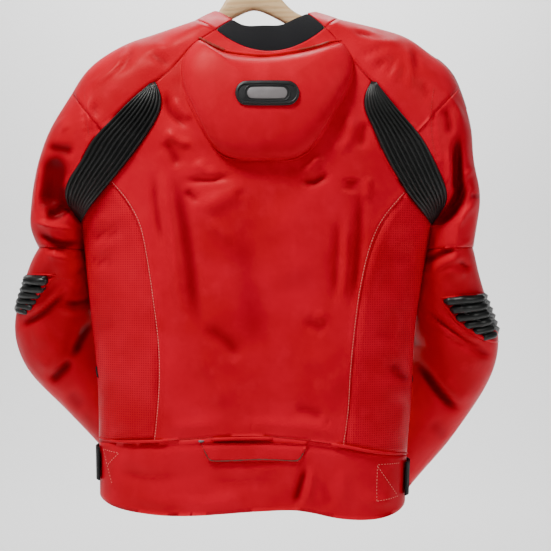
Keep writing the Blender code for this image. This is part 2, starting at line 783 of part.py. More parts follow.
def hump_rings(lift_rises, lift_top):
    """Place the rings of the padded hump over the back, each at its own height."""
    outline = along([(x, 0.0, h) for x, h in HUMP_OUTLINE + HUMP_OUTLINE[:1]], HUMP_SPOKES + 1)
    rings = []
    for share, rise in zip(HUMP_RINGS, lift_rises):
        rings.append([back_point(lerp(HUMP_CENTRE[0], x, share), lerp(HUMP_CENTRE[1], h, share),
                                 LAY_GAP + rise) for x, _, h in outline])
    centre = back_point(*HUMP_CENTRE, LAY_GAP + lift_top)
    rings.append([centre] * (HUMP_SPOKES + 1))
    return np.array(rings)


def build_pad(name, under, over, finish):
    """Close a pad from the rings of its underside and of its top, both ending in a point."""
    rings, spokes = under.shape[0] - 1, under.shape[1] - 1
    points = np.concatenate([part for side in (under, over)
                             for part in (side[:-1, :-1].reshape(-1, 3), side[-1:, 0])])
    count = rings * spokes + 1
    faces = []
    for spoke in range(spokes):
        after = (spoke + 1) % spokes
        for ring in range(rings):
            first = ring * spokes
            quad = [first + spoke, first + after, first + spokes + after, first + spokes + spoke]
            if ring == rings - 1:
                quad = [first + spoke, first + after, count - 1]
            faces.append(quad[::-1])
            faces.append([index + count for index in quad])
        faces.append([spoke, after, after + count, spoke + count])
    volume = np.cross(over[0, :-1] - over[-1, 0], over[0, 1:] - over[-1, 0]).sum(axis=0)[1]
    if volume > 0:
        faces = [face[::-1] for face in faces]
    return closed_mesh(name, points, faces, finish)


BADGE_CENTRE = (14.0, 552.0)
BADGE_HALF_LENGTH, BADGE_HALF_HEIGHT = 39.0, 16.0
BADGE_THICKNESS = 2.2
BADGE_SPOKES = 28
BADGE_RINGS = (1.0, 0.9, 0.45)


def build_badge(hump):
    """Lay a plain patch with round ends on the middle of the hump."""
    under, over = [], []
    straight = BADGE_HALF_LENGTH - BADGE_HALF_HEIGHT
    for ring, share in enumerate(BADGE_RINGS + (0.0,)):
        low, high = [], []
        for spoke in range(BADGE_SPOKES + 1):
            turn = 2.0 * math.pi * spoke / BADGE_SPOKES
            side = math.copysign(straight, math.cos(turn)) if abs(math.cos(turn)) > 1e-6 else 0.0
            x = BADGE_CENTRE[0] + share * (side + BADGE_HALF_HEIGHT * math.cos(turn))
            height = BADGE_CENTRE[1] + share * BADGE_HALF_HEIGHT * math.sin(turn)
            place, normal = hump_place(hump, x, height)
            edge = 0.6 if ring == 0 else 1.0
            low.append(place + normal * LAY_GAP)
            high.append(place + normal * (LAY_GAP + edge * BADGE_THICKNESS))
        under.append(low)
        over.append(high)
    return build_pad("hump_badge", np.array(under), np.array(over), "badge_rubber")


def hump_place(hump, x, height):
    """Find the point of the hump's top above a place seen from behind."""
    away = np.array([x - HUMP_CENTRE[0], height - HUMP_CENTRE[1]])
    outline = hump.points[0, :, ::2] - np.array(HUMP_CENTRE)
    turn = math.atan2(away[1], away[0])
    angles = np.unwrap(np.arctan2(outline[:, 1], outline[:, 0]))
    direction = 1.0 if angles[-1] > angles[0] else -1.0
    target = turn
    while direction * (target - angles[0]) < 0:
        target += direction * 2.0 * math.pi
    while direction * (target - angles[0]) > 2.0 * math.pi:
        target -= direction * 2.0 * math.pi
    column = np.interp(direction * target, direction * angles, np.arange(len(angles)))
    reach = np.interp(column, np.arange(len(angles)), np.linalg.norm(outline, axis=1))
    share = float(np.linalg.norm(away)) / reach
    shares = list(HUMP_RINGS) + [0.0]
    row = np.interp(-share, [-value for value in shares], range(len(shares)))
    return hump.at(row, min(column, HUMP_SPOKES - 1e-6))


ELBOW_GAP = 0.9
ELBOW_RIBS = 6
ELBOW_RIB_HEIGHT = 3.2
ELBOW_SECTIONS = slice(19, 24)   # sleeve sections whose middle the elbow faces away from


def grid_places(start, end):
    """List two places on a grid with every line of the grid between them."""
    return [start, *range(math.floor(start) + 1, math.ceil(end)), end]


class ElbowEdge(NamedTuple):
    """Upper and lower edge of the ribbed elbow at one place round the sleeve."""

    column: float
    upper: float
    lower: float


ELBOW = {
    "l": (ElbowEdge(3.1, 324, 306), ElbowEdge(4.2, 325, 296), ElbowEdge(6.0, 324, 268),
          ElbowEdge(8.0, 318, 264), ElbowEdge(9.0, 312, 276)),
    "r": (ElbowEdge(3.0, 296, 276), ElbowEdge(4.2, 300, 254), ElbowEdge(6.0, 300, 243),
          ElbowEdge(8.0, 296, 244), ElbowEdge(9.0, 290, 254)),
}


def elbow_panel(side, sleeve):
    """Lay the fat ribs over the outside of the elbow, wider towards the outer line."""
    heights = sleeve.points[:, :, 2]
    rows = 2 * ELBOW_RIBS
    edges = ELBOW[side.key]
    columns = grid_places(edges[0].column, edges[-1].column)
    points = np.zeros((rows + 1, len(columns), 3))
    for index, column in enumerate(columns):
        upper = np.interp(column, [e.column for e in edges], [e.upper for e in edges])
        lower = np.interp(column, [e.column for e in edges], [e.lower for e in edges])
        near = min(int(column), heights.shape[1] - 2)
        share = column - near
        line = lerp(heights[:, near], heights[:, near + 1], share)
        for row in range(rows + 1):
            height = lerp(lower, upper, row / rows)
            points[row, index] = sleeve.at(np.interp(-height, -line, np.arange(len(line))),
                                           column)[0]
    relief = (np.arange(rows + 1) % 2)[:, None] * ELBOW_RIB_HEIGHT
    middle = sleeve.points[ELBOW_SECTIONS, :, :2].reshape(-1, 2).mean(axis=0)
    return Panel("elbow_stretch_" + side.key, points, "stretch_black", axis=tuple(middle),
                 inner=ELBOW_GAP, outer=ELBOW_GAP + LEATHER, relief=relief)


class Plate(NamedTuple):
    """Place of a shoulder plate on the sleeve's grid."""

    row: float
    end_row: float
    column: float
    end_column: float


PLATES = {"l": Plate(6.6, 10.4, 7.2, 10.0), "r": Plate(6.6, 10.4, 6.1, 9.4)}
PLATE_THICKNESS = 4.0


def plate_panel(side, sleeve):
    """Lay the hard plate on the front of the shoulder."""
    place = PLATES[side.key]
    rows = grid_places(place.row, place.end_row)
    columns = grid_places(place.column, place.end_column)
    points = [[sleeve.at(row, column)[0] for column in columns] for row in rows]
    relief = np.full((len(rows), len(columns)), PLATE_THICKNESS / 2)
    relief[[0, -1]] = relief[:, [0, -1]] = 0.0
    return Panel("shoulder_plate_" + side.key, points, "plate_black", axis=None, inner=LAY_GAP,
                 outer=LAY_GAP + PLATE_THICKNESS / 2, relief=relief)


TAB_LEVELS = ((87, -61, 56), (99, -66, 61), (110, -71, 66))
STRAP_ANGLES = (74.0, 122.0)
STRAP_LEVELS = {"l": (54, 98), "r": (34, 79)}
POCKET = ((99.0, 184.0), (142.0, 244.0))
POCKET_HALF_WIDTH = 6.0
TRIM_THICKNESS = 2.2


def trim_panels():
    """Make the pieces that lie on the body: waist tab, side straps and pocket zips."""
    tab = [[back_point(x, height) for x in np.linspace(left, right, 9)]
           for height, left, right in TAB_LEVELS]
    thick = {"inner": LAY_GAP, "outer": LAY_GAP + TRIM_THICKNESS}
    panels = [Panel("waist_tab", tab, **thick)]
    for side in SIDES:
        low, high = STRAP_LEVELS[side.key]
        angles = [side.sign * angle for angle in np.linspace(*STRAP_ANGLES, 9)]
        strap = [[body_point(angle, height) for angle in angles]
                 for height in np.linspace(low, high, 3)]
        panels.append(Panel("side_strap_" + side.key, strap, "webbing_black", **thick))
        (start, low), (end, high) = POCKET
        pocket = [[body_point(side.sign * lerp(start, end, share),
                              lerp(low, high, share) + across * POCKET_HALF_WIDTH)
                   for share in np.linspace(0.0, 1.0, 9)] for across in (-1.0, 0.0, 1.0)]
        relief = np.array([0.0, ZIP_TEETH_HEIGHT, 0.0])[:, None]
        panels.append(Panel("pocket_zip_" + side.key, pocket, "webbing_black", relief=relief,
                            **thick))
    return panels


SLIDER_ROW = 30.35           # where the closed zip's slider stands on the zip's grid
SLIDER_SIZE = (10.0, 12.0, 4.0)
PULL_SIZE = (7.0, 26.0, 1.8)
PULL_END = 0.6               # metal above the pull's hinge line


def build_slider_and_pull(zipper):
    """Put the slider on the zip at the throat, and hinge its pull at the slider's face."""
    place = zipper.at(SLIDER_ROW, 1.5)[0]
    along_zip = unit((zipper.at(SLIDER_ROW - 0.5, 1.5)[0] - zipper.at(SLIDER_ROW + 0.5, 1.5)[0])
                     * np.array([0.0, 1.0, 1.0]))
    across = np.array([1.0, 0.0, 0.0])
    outward = np.cross(across, along_zip)
    outward *= math.copysign(1.0, outward[1])
    face = ZIP_TEETH_HEIGHT + LAY_GAP
    frame = (across, along_zip, outward)
    build_block("zip_slider", place + outward * (face + SLIDER_SIZE[2] / 2), frame, SLIDER_SIZE)
    depth = face + SLIDER_SIZE[2] + SEAM_GAP + PULL_SIZE[2] / 2
    hinge = place + outward * depth - along_zip * (SLIDER_SIZE[1] / 2 - 2.0)
    build_block("zip_pull", hinge, frame, PULL_SIZE, PULL_SIZE[1] / 2 - PULL_END)


def build_block(name, origin, frame, size, slide=0.0):
    """Make a bevelled metal block in a frame, its origin where its hinge or middle is."""
    block = bmesh.new()
    bmesh.ops.create_cube(block, size=1.0)
    turned = np.array(frame).T
    for vertex in block.verts:
        local = np.array(vertex.co) * np.array(size) + np.array([0.0, slide, 0.0])
        vertex.co = turned @ local * METRES
    bmesh.ops.recalc_face_normals(block, faces=block.faces)
    mesh = bpy.data.meshes.new(name)
    block.to_mesh(mesh)
    block.free()
    piece = add_object(name, mesh, "zip_metal")
    piece.location = to_world(origin)
    bevel = piece.modifiers.new("rounded edges", "BEVEL")
    bevel.width = 0.4 * METRES
    bevel.segments = 1
    return piece


class Wood(NamedTuple):
    """One section of the hanger: place, upper and lower edge."""

    x: float
    top: float
    bottom: float


HUB = (Wood(-62, 662, 644), Wood(-50, 679, 655), Wood(-38, 700, 664), Wood(-22, 718, 672),
       Wood(-5, 727, 680), Wood(12, 718, 674), Wood(28, 701, 666), Wood(42, 683, 658),
       Wood(58, 672, 650), Wood(84, 667, 644))
ARM_SECTIONS = 7
ARM_DEPTH_AT_NECK, ARM_DEPTH_AT_END = 24.0, 18.0
WOOD_HALF_THICKNESS = 7.0
WOOD_SIDES = 12
WOOD_FULLNESS = 0.75


def build_hanger(sleeves):
    """Loft the wooden hanger just under the shoulders, with its raised middle."""
    arms = {}
    for side in SIDES:
        sleeve = sleeves[side.key]
        ridge = sleeve.points[:ARM_SECTIONS, ARC_COLUMNS]
        ridge = ridge - sleeve.normals[:ARM_SECTIONS, ARC_COLUMNS] * (LEATHER + LAY_GAP)
        arms[side.key] = []
        for index, point in enumerate(ridge):
            depth = lerp(ARM_DEPTH_AT_NECK, ARM_DEPTH_AT_END, index / (ARM_SECTIONS - 1))
            arms[side.key].append(Wood(point[0], point[2], point[2] - depth))
    sections = arms["l"][::-1] + list(HUB) + arms["r"]
    points = []
    for section in sections:
        middle, half = (section.top + section.bottom) / 2, (section.top - section.bottom) / 2
        for turn in range(WOOD_SIDES):
            angle = 2.0 * math.pi * turn / WOOD_SIDES
            across, up = math.cos(angle), math.sin(angle)
            y = WOOD_HALF_THICKNESS * math.copysign(abs(across) ** WOOD_FULLNESS, across)
            points.append((section.x, y, middle + half * math.copysign(abs(up) ** WOOD_FULLNESS,
                                                                       up)))
    faces = []
    for index in range(len(sections) - 1):
        for turn in range(WOOD_SIDES):
            after = (turn + 1) % WOOD_SIDES
            here, there = index * WOOD_SIDES, (index + 1) * WOOD_SIDES
            faces.append((here + turn, here + after, there + after, there + turn))
    faces.append(tuple(range(WOOD_SIDES))[::-1])
    faces.append(tuple(range(len(points) - WOOD_SIDES, len(points))))
    return closed_mesh("hanger_body", points, faces, "hanger_wood")


WIRE_RADIUS = 2.0
HOOK_INNER_RADIUS = 18.0
HOOK_START, HOOK_END = -50.0, 205.0      # degrees round the hook's bow
STEM = ((0.0, 727.3), (0.0, 738.0), (1.5, 747.0))


def build_hook():
    """Bend the steel hook: a stem out of the hanger's middle and an open bow."""
    radius = HOOK_INNER_RADIUS + WIRE_RADIUS
    centre = HOOK_HEIGHT - HOOK_INNER_RADIUS
    route = [(HOOK_X + x, 0.0, height) for x, height in STEM]
    for step in range(13):
        turn = math.radians(lerp(HOOK_START, HOOK_END, step / 12))
        route.append((HOOK_X + radius * math.cos(turn), 0.0, centre + radius * math.sin(turn)))
    route = along(route, 26)
    curve = bpy.data.curves.new("hanger_hook", "CURVE")
    curve.dimensions = "3D"
    curve.bevel_depth = WIRE_RADIUS * METRES
    curve.bevel_resolution = 2
    curve.use_fill_caps = True
    spline = curve.splines.new("POLY")
    spline.points.add(len(route) - 1)
    for point, place in zip(spline.points, to_world(route)):
        point.co = (*place, 1.0)
    return add_object("hanger_hook", curve, "hook_steel")


def main():
    """Build the jacket on its hanger."""
    for leftover in list(bpy.data.objects):
        bpy.data.objects.remove(leftover, do_unlink=True)
    garment = bpy.data.collections.new(COLLECTION_NAME)
    bpy.context.scene.collection.children.link(garment)
    panels, sleeves = garment_panels()
    for panel in panels.values():
        build_wall(panel)
    for panel in trim_panels():
        build_wall(panel)
    for side in SIDES:
        build_wall(elbow_panel(side, sleeves[side.key]))
        build_wall(plate_panel(side, sleeves[side.key]))
    under = hump_rings([0.0] * len(HUMP_RINGS), 0.0)
    over = hump_rings(HUMP_RISES, HUMP_TOP)
    build_pad("hump", under, over, "red_leather")
    build_badge(Panel("hump_top", over))
    build_slider_and_pull(panels["main_zip"])
    build_hanger(sleeves)
    build_hook()


main()
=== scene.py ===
"""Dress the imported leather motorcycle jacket: folds, seams, stitching, trim, materials and light.

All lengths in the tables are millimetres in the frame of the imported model, whose origin is the
bearing point of the hook. +X is the picture's right, -Y comes out of the jacket's back, +Z is up.
A place is X and Z. The order of the rows in a table is the order in which they are built.
"""

from __future__ import annotations

import json
import logging
import math
from dataclasses import dataclass
from enum import Enum
from typing import Callable, Iterable, Sequence

import bmesh
import bpy
import numpy as np
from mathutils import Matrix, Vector
from mathutils.bvhtree import BVHTree

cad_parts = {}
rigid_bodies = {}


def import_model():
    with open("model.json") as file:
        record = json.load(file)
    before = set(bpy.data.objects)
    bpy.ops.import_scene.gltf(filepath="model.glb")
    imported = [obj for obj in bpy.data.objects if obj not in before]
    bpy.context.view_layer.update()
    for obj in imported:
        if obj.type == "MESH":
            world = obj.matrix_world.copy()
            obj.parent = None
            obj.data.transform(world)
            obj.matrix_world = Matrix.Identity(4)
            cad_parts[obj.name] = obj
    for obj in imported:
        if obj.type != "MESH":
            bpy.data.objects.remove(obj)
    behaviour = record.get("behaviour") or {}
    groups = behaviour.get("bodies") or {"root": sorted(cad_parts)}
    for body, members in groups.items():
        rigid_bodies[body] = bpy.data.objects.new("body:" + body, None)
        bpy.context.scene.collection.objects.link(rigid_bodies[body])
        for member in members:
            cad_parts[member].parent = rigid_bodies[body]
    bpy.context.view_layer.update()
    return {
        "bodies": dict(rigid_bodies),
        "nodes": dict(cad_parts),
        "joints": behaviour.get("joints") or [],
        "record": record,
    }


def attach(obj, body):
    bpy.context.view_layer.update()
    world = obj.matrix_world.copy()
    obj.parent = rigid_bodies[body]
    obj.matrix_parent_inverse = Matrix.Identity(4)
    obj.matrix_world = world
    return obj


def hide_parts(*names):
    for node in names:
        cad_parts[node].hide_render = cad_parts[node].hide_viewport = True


LOG = logging.getLogger("jacket")

MM = 0.001
Colour = tuple[float, float, float]
Point = tuple[float, float, float]
Place = tuple[float, float]
Line = tuple[Place, ...]
Array = np.ndarray


class Facing(Enum):
    """Side of the jacket that a fold or a row of stitches is on."""

    BACK = -1.0
    FRONT = 1.0


class Socket:
    """One output of a shader node, with arithmetic that adds the nodes it needs."""

    def __init__(self, graph: "Graph", output: bpy.types.NodeSocket) -> None:
        """Wrap an output socket of a node in the graph."""
        self.graph = graph
        self.output = output

    def maths(self, operation: str, *others: "Socket | float") -> "Socket":
        """Put a Math node after this socket.

        Args:
            operation: The Math node's operation.
            others: Its other operands.

        Returns:
            The node's result.
        """
        inputs = dict(enumerate((self, *others)))
        return self.graph.node("ShaderNodeMath", {"operation": operation}, inputs)

    def __add__(self, other: "Socket | float") -> "Socket":
        return self.maths("ADD", other)

    def __mul__(self, other: "Socket | float") -> "Socket":
        return self.maths("MULTIPLY", other)

    def __rsub__(self, other: float) -> "Socket":
        return self.maths("MULTIPLY", -1.0) + other

    def ramp(self, low: float, high: float, start: float = 0.0, end: float = 1.0) -> "Socket":
        """Map this value smoothly from one range to another.

        Args:
            low: Value that gives start.
            high: Value that gives end.
            start: Result at and before low.
            end: Result at and after high.

        Returns:
            The mapped value.
        """
        return self.graph.node("ShaderNodeMapRange", {"interpolation_type": "SMOOTHSTEP"},
                               {"Value": self, "From Min": low, "From Max": high,
                                "To Min": start, "To Max": end})


class Graph:
    """A material's node tree, built by one method for every node."""

    def __init__(self, name: str) -> None:
        """Start an empty material of that name."""
        self.material = bpy.data.materials.new(name)
        self.material.use_nodes = True
        self.tree = self.material.node_tree
        self.tree.nodes.clear()

    def node(self, kind: str, settings: dict | None = None, inputs: dict | None = None,
             output: int | str = 0) -> Socket:
        """Add a node, set it up and join its inputs.

        Args:
            kind: The node's type.
            settings: Properties of the node itself.
            inputs: Values or sockets by input name or number.
            output: Name or number of the output to return.

        Returns:
            That output.
        """
        node = self.tree.nodes.new(kind)
        for name, value in (settings or {}).items():
            setattr(node, name, value)
        for name, value in (inputs or {}).items():
            if isinstance(value, Socket):
                self.tree.links.new(value.output, node.inputs[name])
            else:
                node.inputs[name].default_value = value
        return Socket(self, node.outputs[output])

    def position(self, stretch: Point | None = None) -> Socket:
        """Give the point that is shaded, in metres, with its axes stretched by factors."""
        where = self.node("ShaderNodeTexCoord", output="Object")
        if stretch is None:
            return where
        return self.node("ShaderNodeVectorMath", {"operation": "MULTIPLY"}, {0: where, 1: stretch})

    def part(self, vector: Socket, axis: str) -> Socket:
        """Give one coordinate of a vector."""
        return self.node("ShaderNodeSeparateXYZ", inputs={"Vector": vector}, output=axis)

    def noise(self, scale: float, detail: float = 3.0, rough: float = 0.55,
              stretch: Point | None = None) -> Socket:
        """Add a noise texture.

        Args:
            scale: Features for each metre.
            detail: Octaves.
            rough: Strength of each octave against the one before it.
            stretch: Factors for the three axes.

        Returns:
            The noise, from 0 to 1.
        """
        return self.node("ShaderNodeTexNoise",
                         inputs={"Vector": self.position(stretch), "Scale": scale,
                                 "Detail": detail, "Roughness": rough})

    def cells(self, scale: float, feature: str = "F1", random: float = 1.0,
              stretch: Point | None = None) -> Socket:
        """Add a cell texture and give the distance it measures."""
        return self.node("ShaderNodeTexVoronoi", {"feature": feature},
                         {"Vector": self.position(stretch), "Scale": scale,
                          "Randomness": random}, output="Distance")

    def blend(self, share: "Socket | float", first: "Socket | Colour",
              second: "Socket | Colour") -> Socket:
        """Mix two colours."""
        def coloured(value: "Socket | Colour") -> "Socket | tuple":
            return value if isinstance(value, Socket) else (*value, 1.0)

        return self.node("ShaderNodeMix", {"data_type": "RGBA"},
                         {0: share, 6: coloured(first), 7: coloured(second)}, output=2)

    def bump(self, height: Socket, depth: float, strength: float = 1.0,
             under: Socket | None = None) -> Socket:
        """Turn a height from 0 to 1 into a bumped normal of that depth in metres."""
        inputs = {"Height": height, "Distance": depth, "Strength": strength}
        if under is not None:
            inputs["Normal"] = under
        return self.node("ShaderNodeBump", inputs=inputs)

    def surface(self, **inputs: "Socket | float | Colour") -> bpy.types.Material:
        """Close the material with a Principled BSDF.

        Args:
            inputs: Its inputs, with underscores for the spaces in their names.

        Returns:
            The finished material.
        """
        named = {}
        for name, value in inputs.items():
            title = name.replace("_", " ")
            named[title] = (*value, 1.0) if isinstance(value, tuple) else value
        shader = self.node("ShaderNodeBsdfPrincipled", inputs=named)
        out = self.tree.nodes.new("ShaderNodeOutputMaterial")
        self.tree.links.new(shader.output, out.inputs["Surface"])
        return self.material


MOTTLE_SCALE, CLOUD_SCALE = 9.0, 34.0
WRINKLE_SCALE, CREASE_SCALE = 120.0, 210.0
HOLE_SCALE, HOLE_DEPTH = 330.0, 0.0004


@dataclass(frozen=True)
class Leather:
    """A dyed leather: its colours, grain and gloss."""

    name: str
    colour: Colour
    dark: Colour
    light: Colour
    grain: float = 620.0
    grain_depth: float = 0.00035
    gloss: float = 0.40
    perforated: bool = False
    shine: Colour = (1.0, 0.16, 0.13)
    index: float = 1.3
    bumpiness: float = 0.3
    # Colour of the painted shade in the fold hollows and seam grooves.
    hollow: Colour = (0.10, 0.0, 0.003)

    def build(self) -> bpy.types.Material:
        """Build the material: mottled dye, painted shade in the fold hollows and seam grooves, cell
        grain and fine wrinkles.
        """
        g = Graph(self.name)
        mottle = g.noise(MOTTLE_SCALE, 4.0)
        cloud = g.noise(CLOUD_SCALE)
        dye_and_shade = g.blend(mottle.ramp(0.35, 0.68), self.dark, self.colour)
        dye_and_shade = g.blend(cloud.ramp(0.52, 0.75) * 0.35, dye_and_shade, self.light)
        # Painted shade: fold hollows and seam grooves are darkened towards the hollow colour by the
        # mesh's hollow attribute.
        depth = g.node("ShaderNodeAttribute", {"attribute_name": "hollow"}, output="Fac")
        dye_and_shade = g.blend(depth.ramp(0.04, 1.0) * 0.85, dye_and_shade, self.hollow)
        cells = g.cells(self.grain, "SMOOTH_F1")
        pores = g.noise(self.grain * 2.2, 2.0)
        wrinkle = g.noise(WRINKLE_SCALE, 4.0, 0.6)
        creases = g.cells(CREASE_SCALE, "DISTANCE_TO_EDGE").ramp(0.0, 0.14)
        height = cells * 0.45 + pores * 0.2 + wrinkle * 0.5 + creases * 0.16
        normal = g.bump(height, self.grain_depth, self.bumpiness)
        rough = cloud.ramp(0.3, 0.7, self.gloss - 0.05, self.gloss + 0.08) + pores * 0.06
        if self.perforated:
            holes = g.cells(HOLE_SCALE, random=0.0, stretch=(1.0, 0.0, 1.0))
            hole = holes.ramp(0.17, 0.27, 1.0, 0.0)
            # Painted shade: each hole is darkened for the shade inside it.
            dye_and_shade = g.blend(hole * 0.45, dye_and_shade, tuple(c * 0.25 for c in self.dark))
            normal = g.bump(1.0 - hole, HOLE_DEPTH, 0.6, normal)
        return g.surface(Base_Color=dye_and_shade, Roughness=rough, Normal=normal, IOR=self.index,
                         Specular_IOR_Level=0.5, Specular_Tint=self.shine)


LINT = (0.25, 0.22, 0.2)


@dataclass(frozen=True)
class Knit:
    """A woven or knitted cloth: two yarn colours and the pitch of its loops in metres."""

    name: str
    colour: Colour
    light: Colour
    pitch: float
    rough: float

    def build(self) -> bpy.types.Material:
        """Build the material: crossing yarns, fuzz and a little lint."""
        g = Graph(self.name)
        where = g.position()
        turns = 2.0 * math.pi / self.pitch
        across = (g.part(where, "X") * turns).maths("SINE")
        along = ((g.part(where, "Z") + g.part(where, "Y")) * turns).maths("SINE")
        yarn = (across * along) * 0.5 + 0.5
        fuzz = g.noise(1500.0)
        lint = g.noise(260.0, 5.0, 0.7).ramp(0.62, 0.72)
        tone = g.blend(yarn.ramp(0.1, 0.9) * 0.6 + fuzz * 0.3, self.colour, self.light)
        tone = g.blend(lint * 0.12, tone, LINT)
        normal = g.bump(yarn * 0.7 + fuzz * 0.5, 0.0003, 0.8)
        return g.surface(Base_Color=tone, Roughness=self.rough, Normal=normal, IOR=1.25,
                         Sheen_Weight=0.05, Sheen_Roughness=0.4)


@dataclass(frozen=True)
class Moulded:
    """A moulded or cast surface: plastic, rubber, metal."""

    name: str
    colour: Colour
    worn: Colour
    rough: float
    metal: float = 0.0
    grain: float = 900.0
    grain_depth: float = 0.00008

    def build(self) -> bpy.types.Material:
        """Build the material: fine grain, handling marks and a worn tone."""
        g = Graph(self.name)
        marks = g.noise(60.0, 5.0, 0.65)
        fine = g.noise(self.grain, 2.0)
        tone = g.blend(marks.ramp(0.5, 0.78) * 0.5, self.colour, self.worn)
        rough = marks.ramp(0.3, 0.75, self.rough - 0.05, self.rough + 0.12)
        return g.surface(Base_Color=tone, Metallic=self.metal, Roughness=rough,
                         Normal=g.bump(fine, self.grain_depth, 0.6))


@dataclass(frozen=True)
class Timber:
    """Lacquered wood with its grain along X."""

    name: str
    pale: Colour
    dark: Colour

    def build(self) -> bpy.types.Material:
        """Build the material: long growth lines, pores and a clear lacquer."""
        g = Graph(self.name)
        wander = g.noise(14.0, stretch=(0.5, 1.0, 1.0))
        rings = (g.part(g.position(), "Z") * 900.0 + wander * 22.0).maths("SINE") * 0.5 + 0.5
        pores = g.noise(700.0, stretch=(0.06, 1.0, 1.0))
        tone = g.blend(rings.ramp(0.2, 0.95) * 0.7, self.pale, self.dark)
        tone = g.blend(pores.ramp(0.58, 0.72) * 0.4, tone, tuple(c * 0.5 for c in self.dark))
        return g.surface(Base_Color=tone, Roughness=pores.ramp(0.3, 0.8, 0.32, 0.5),
                         Coat_Weight=0.35, Coat_Roughness=0.2, Normal=g.bump(pores, 0.0002, 0.4))


RED, RED_DARK, RED_LIGHT = (0.72, 0.0, 0.022), (0.58, 0.0, 0.014), (0.78, 0.003, 0.03)

RECIPES = (
    Leather("red_leather", RED, RED_DARK, RED_LIGHT),
    Leather("red_leather_perforated", RED, RED_DARK, RED_LIGHT, perforated=True),
    Leather("ribbed_leather", (0.010, 0.010, 0.010), (0.006, 0.006, 0.006), (0.022, 0.022, 0.021),
            gloss=0.38, shine=(1.0, 1.0, 0.96), index=1.5, bumpiness=0.25, hollow=(0.0, 0.0, 0.0)),
    Knit("collar_cloth", (0.006, 0.006, 0.007), (0.016, 0.016, 0.018), 0.0013, 0.9),
    Knit("woven_tape", (0.006, 0.006, 0.007), (0.02, 0.02, 0.02), 0.0016, 0.8),
    Moulded("patch_rubber", (0.012, 0.012, 0.012), (0.035, 0.034, 0.033), 0.42),
    Moulded("reflective_inset", (0.21, 0.19, 0.19), (0.30, 0.28, 0.27), 0.45, grain=2400.0),
    Moulded("plate_plastic", (0.010, 0.010, 0.011), (0.05, 0.05, 0.05), 0.38),
    Moulded("zip_metal", (0.30, 0.29, 0.28), (0.12, 0.11, 0.1), 0.34, 1.0),
    Timber("hanger_wood", (0.98, 0.68, 0.36), (0.86, 0.52, 0.24)),
    Moulded("hook_steel", (0.62, 0.62, 0.62), (0.42, 0.42, 0.41), 0.22, 1.0),
    Moulded("thread", (0.88, 0.28, 0.22), (0.75, 0.14, 0.11), 0.65, grain=3000.0),
    Moulded("red_thread", (0.55, 0.01, 0.015), (0.35, 0.004, 0.006), 0.6, grain=3000.0),
    Leather("worn_red_leather", (0.5, 0.05, 0.04), (0.09, 0.06, 0.045), (0.42, 0.33, 0.28),
            grain=900.0, gloss=0.55),
    Moulded("frayed_piping", (0.15, 0.028, 0.018), (0.34, 0.15, 0.11), 0.7, grain=1500.0,
            grain_depth=0.0005),
    Moulded("pale_stage", (0.86, 0.86, 0.86), (0.84, 0.84, 0.84), 0.9),
)


def smooth_line(line: Sequence[Sequence[float]], step: float) -> Array:
    """Draw a smooth line through points, as evenly spaced points.

    Args:
        line: The points, in two or three dimensions.
        step: Distance between the points returned.

    Returns:
        The points, an array with a row for each.
    """
    knots = np.array(line, float)
    if len(knots) > 2:
        ends = np.vstack([2 * knots[0] - knots[1], knots, 2 * knots[-1] - knots[-2]])
        share = np.linspace(0.0, 1.0, 12, endpoint=False)[:, None]
        runs = []
        for before, start, end, after in zip(ends, ends[1:], ends[2:], ends[3:]):
            runs.append(0.5 * (2 * start + (end - before) * share
                               + (2 * before - 5 * start + 4 * end - after) * share ** 2
                               + (3 * start - before - 3 * end + after) * share ** 3))
        knots = np.vstack([*runs, knots[-1:]])
    reach = np.concatenate([[0.0], np.cumsum(np.linalg.norm(np.diff(knots, axis=0), axis=1))])
    places = np.linspace(0.0, reach[-1], max(2, int(round(reach[-1] / step)) + 1))
    return np.column_stack([np.interp(places, reach, column) for column in knots.T])


def nearest(line: Array, points: Array) -> tuple[Array, Array]:
    """Measure points against a line in the same plane.

    Args:
        line: The line's points.
        points: The points to measure.

    Returns:
        Each point's distance from the line, and how far along it the nearest place is.
    """
    best = np.full(len(points), 1e9)
    along = np.zeros(len(points))
    gone = 0.0
    for start, end in zip(line, line[1:]):
        run = end - start
        length = math.hypot(*run)
        share = np.clip((points - start) @ run / length ** 2, 0.0, 1.0)
        off = points - start - share[:, None] * run
        away = np.hypot(off[:, 0], off[:, 1])
        closer = away < best
        best[closer] = away[closer]
        along[closer] = gone + share[closer] * length
        gone += length
    return best, along


FOLD_STRENGTH = 1.8
FOLD_REACH = 60.0
TAPER_SHARE, TAPER_LEAST = 0.35, 0.15
# Depth in millimetres of a fold hollow or seam groove at which its painted shade is full.
DARK_DEPTH = 9.0
PRESSED_AT, PRESSED_REACH, PRESSED_FALL = -480.0, 150.0, 1.5
SECTIONS = 14
RIB_GAIN, RIB_ROUNDS = 0.8, 14
RIB_LEAST, RIB_MOST = -2.5, 1.2
RIM_TURN, VALLEY_TURN = 50.0, -14.0
JOIN_TURN, JOIN_SKEW = math.radians(35), math.radians(75)
UNEVENNESS = ((1.3, 70.0, 3), (0.4, 25.0, 5))
WAVES = 9


@dataclass(frozen=True)
class Fold:
    """A soft ridge or hollow along a line, narrower and flatter towards its ends."""

    line: Line
    width: float
    rise: float

    def lift(self, points: Array) -> Array:
        """Give how far the fold lifts each point, in millimetres."""
        line = smooth_line(self.line, max(3.0, self.width * 0.5))
        away, along = nearest(line, points)
        length = np.linalg.norm(np.diff(line, axis=0), axis=1).sum()
        taper = np.clip(np.minimum(along, length - along) / (TAPER_SHARE * length) + TAPER_LEAST,
                        0.0, 1.0)
        taper = taper * taper * (3.0 - 2.0 * taper)
        return FOLD_STRENGTH * self.rise * np.exp(-(away / self.width) ** 2) * taper


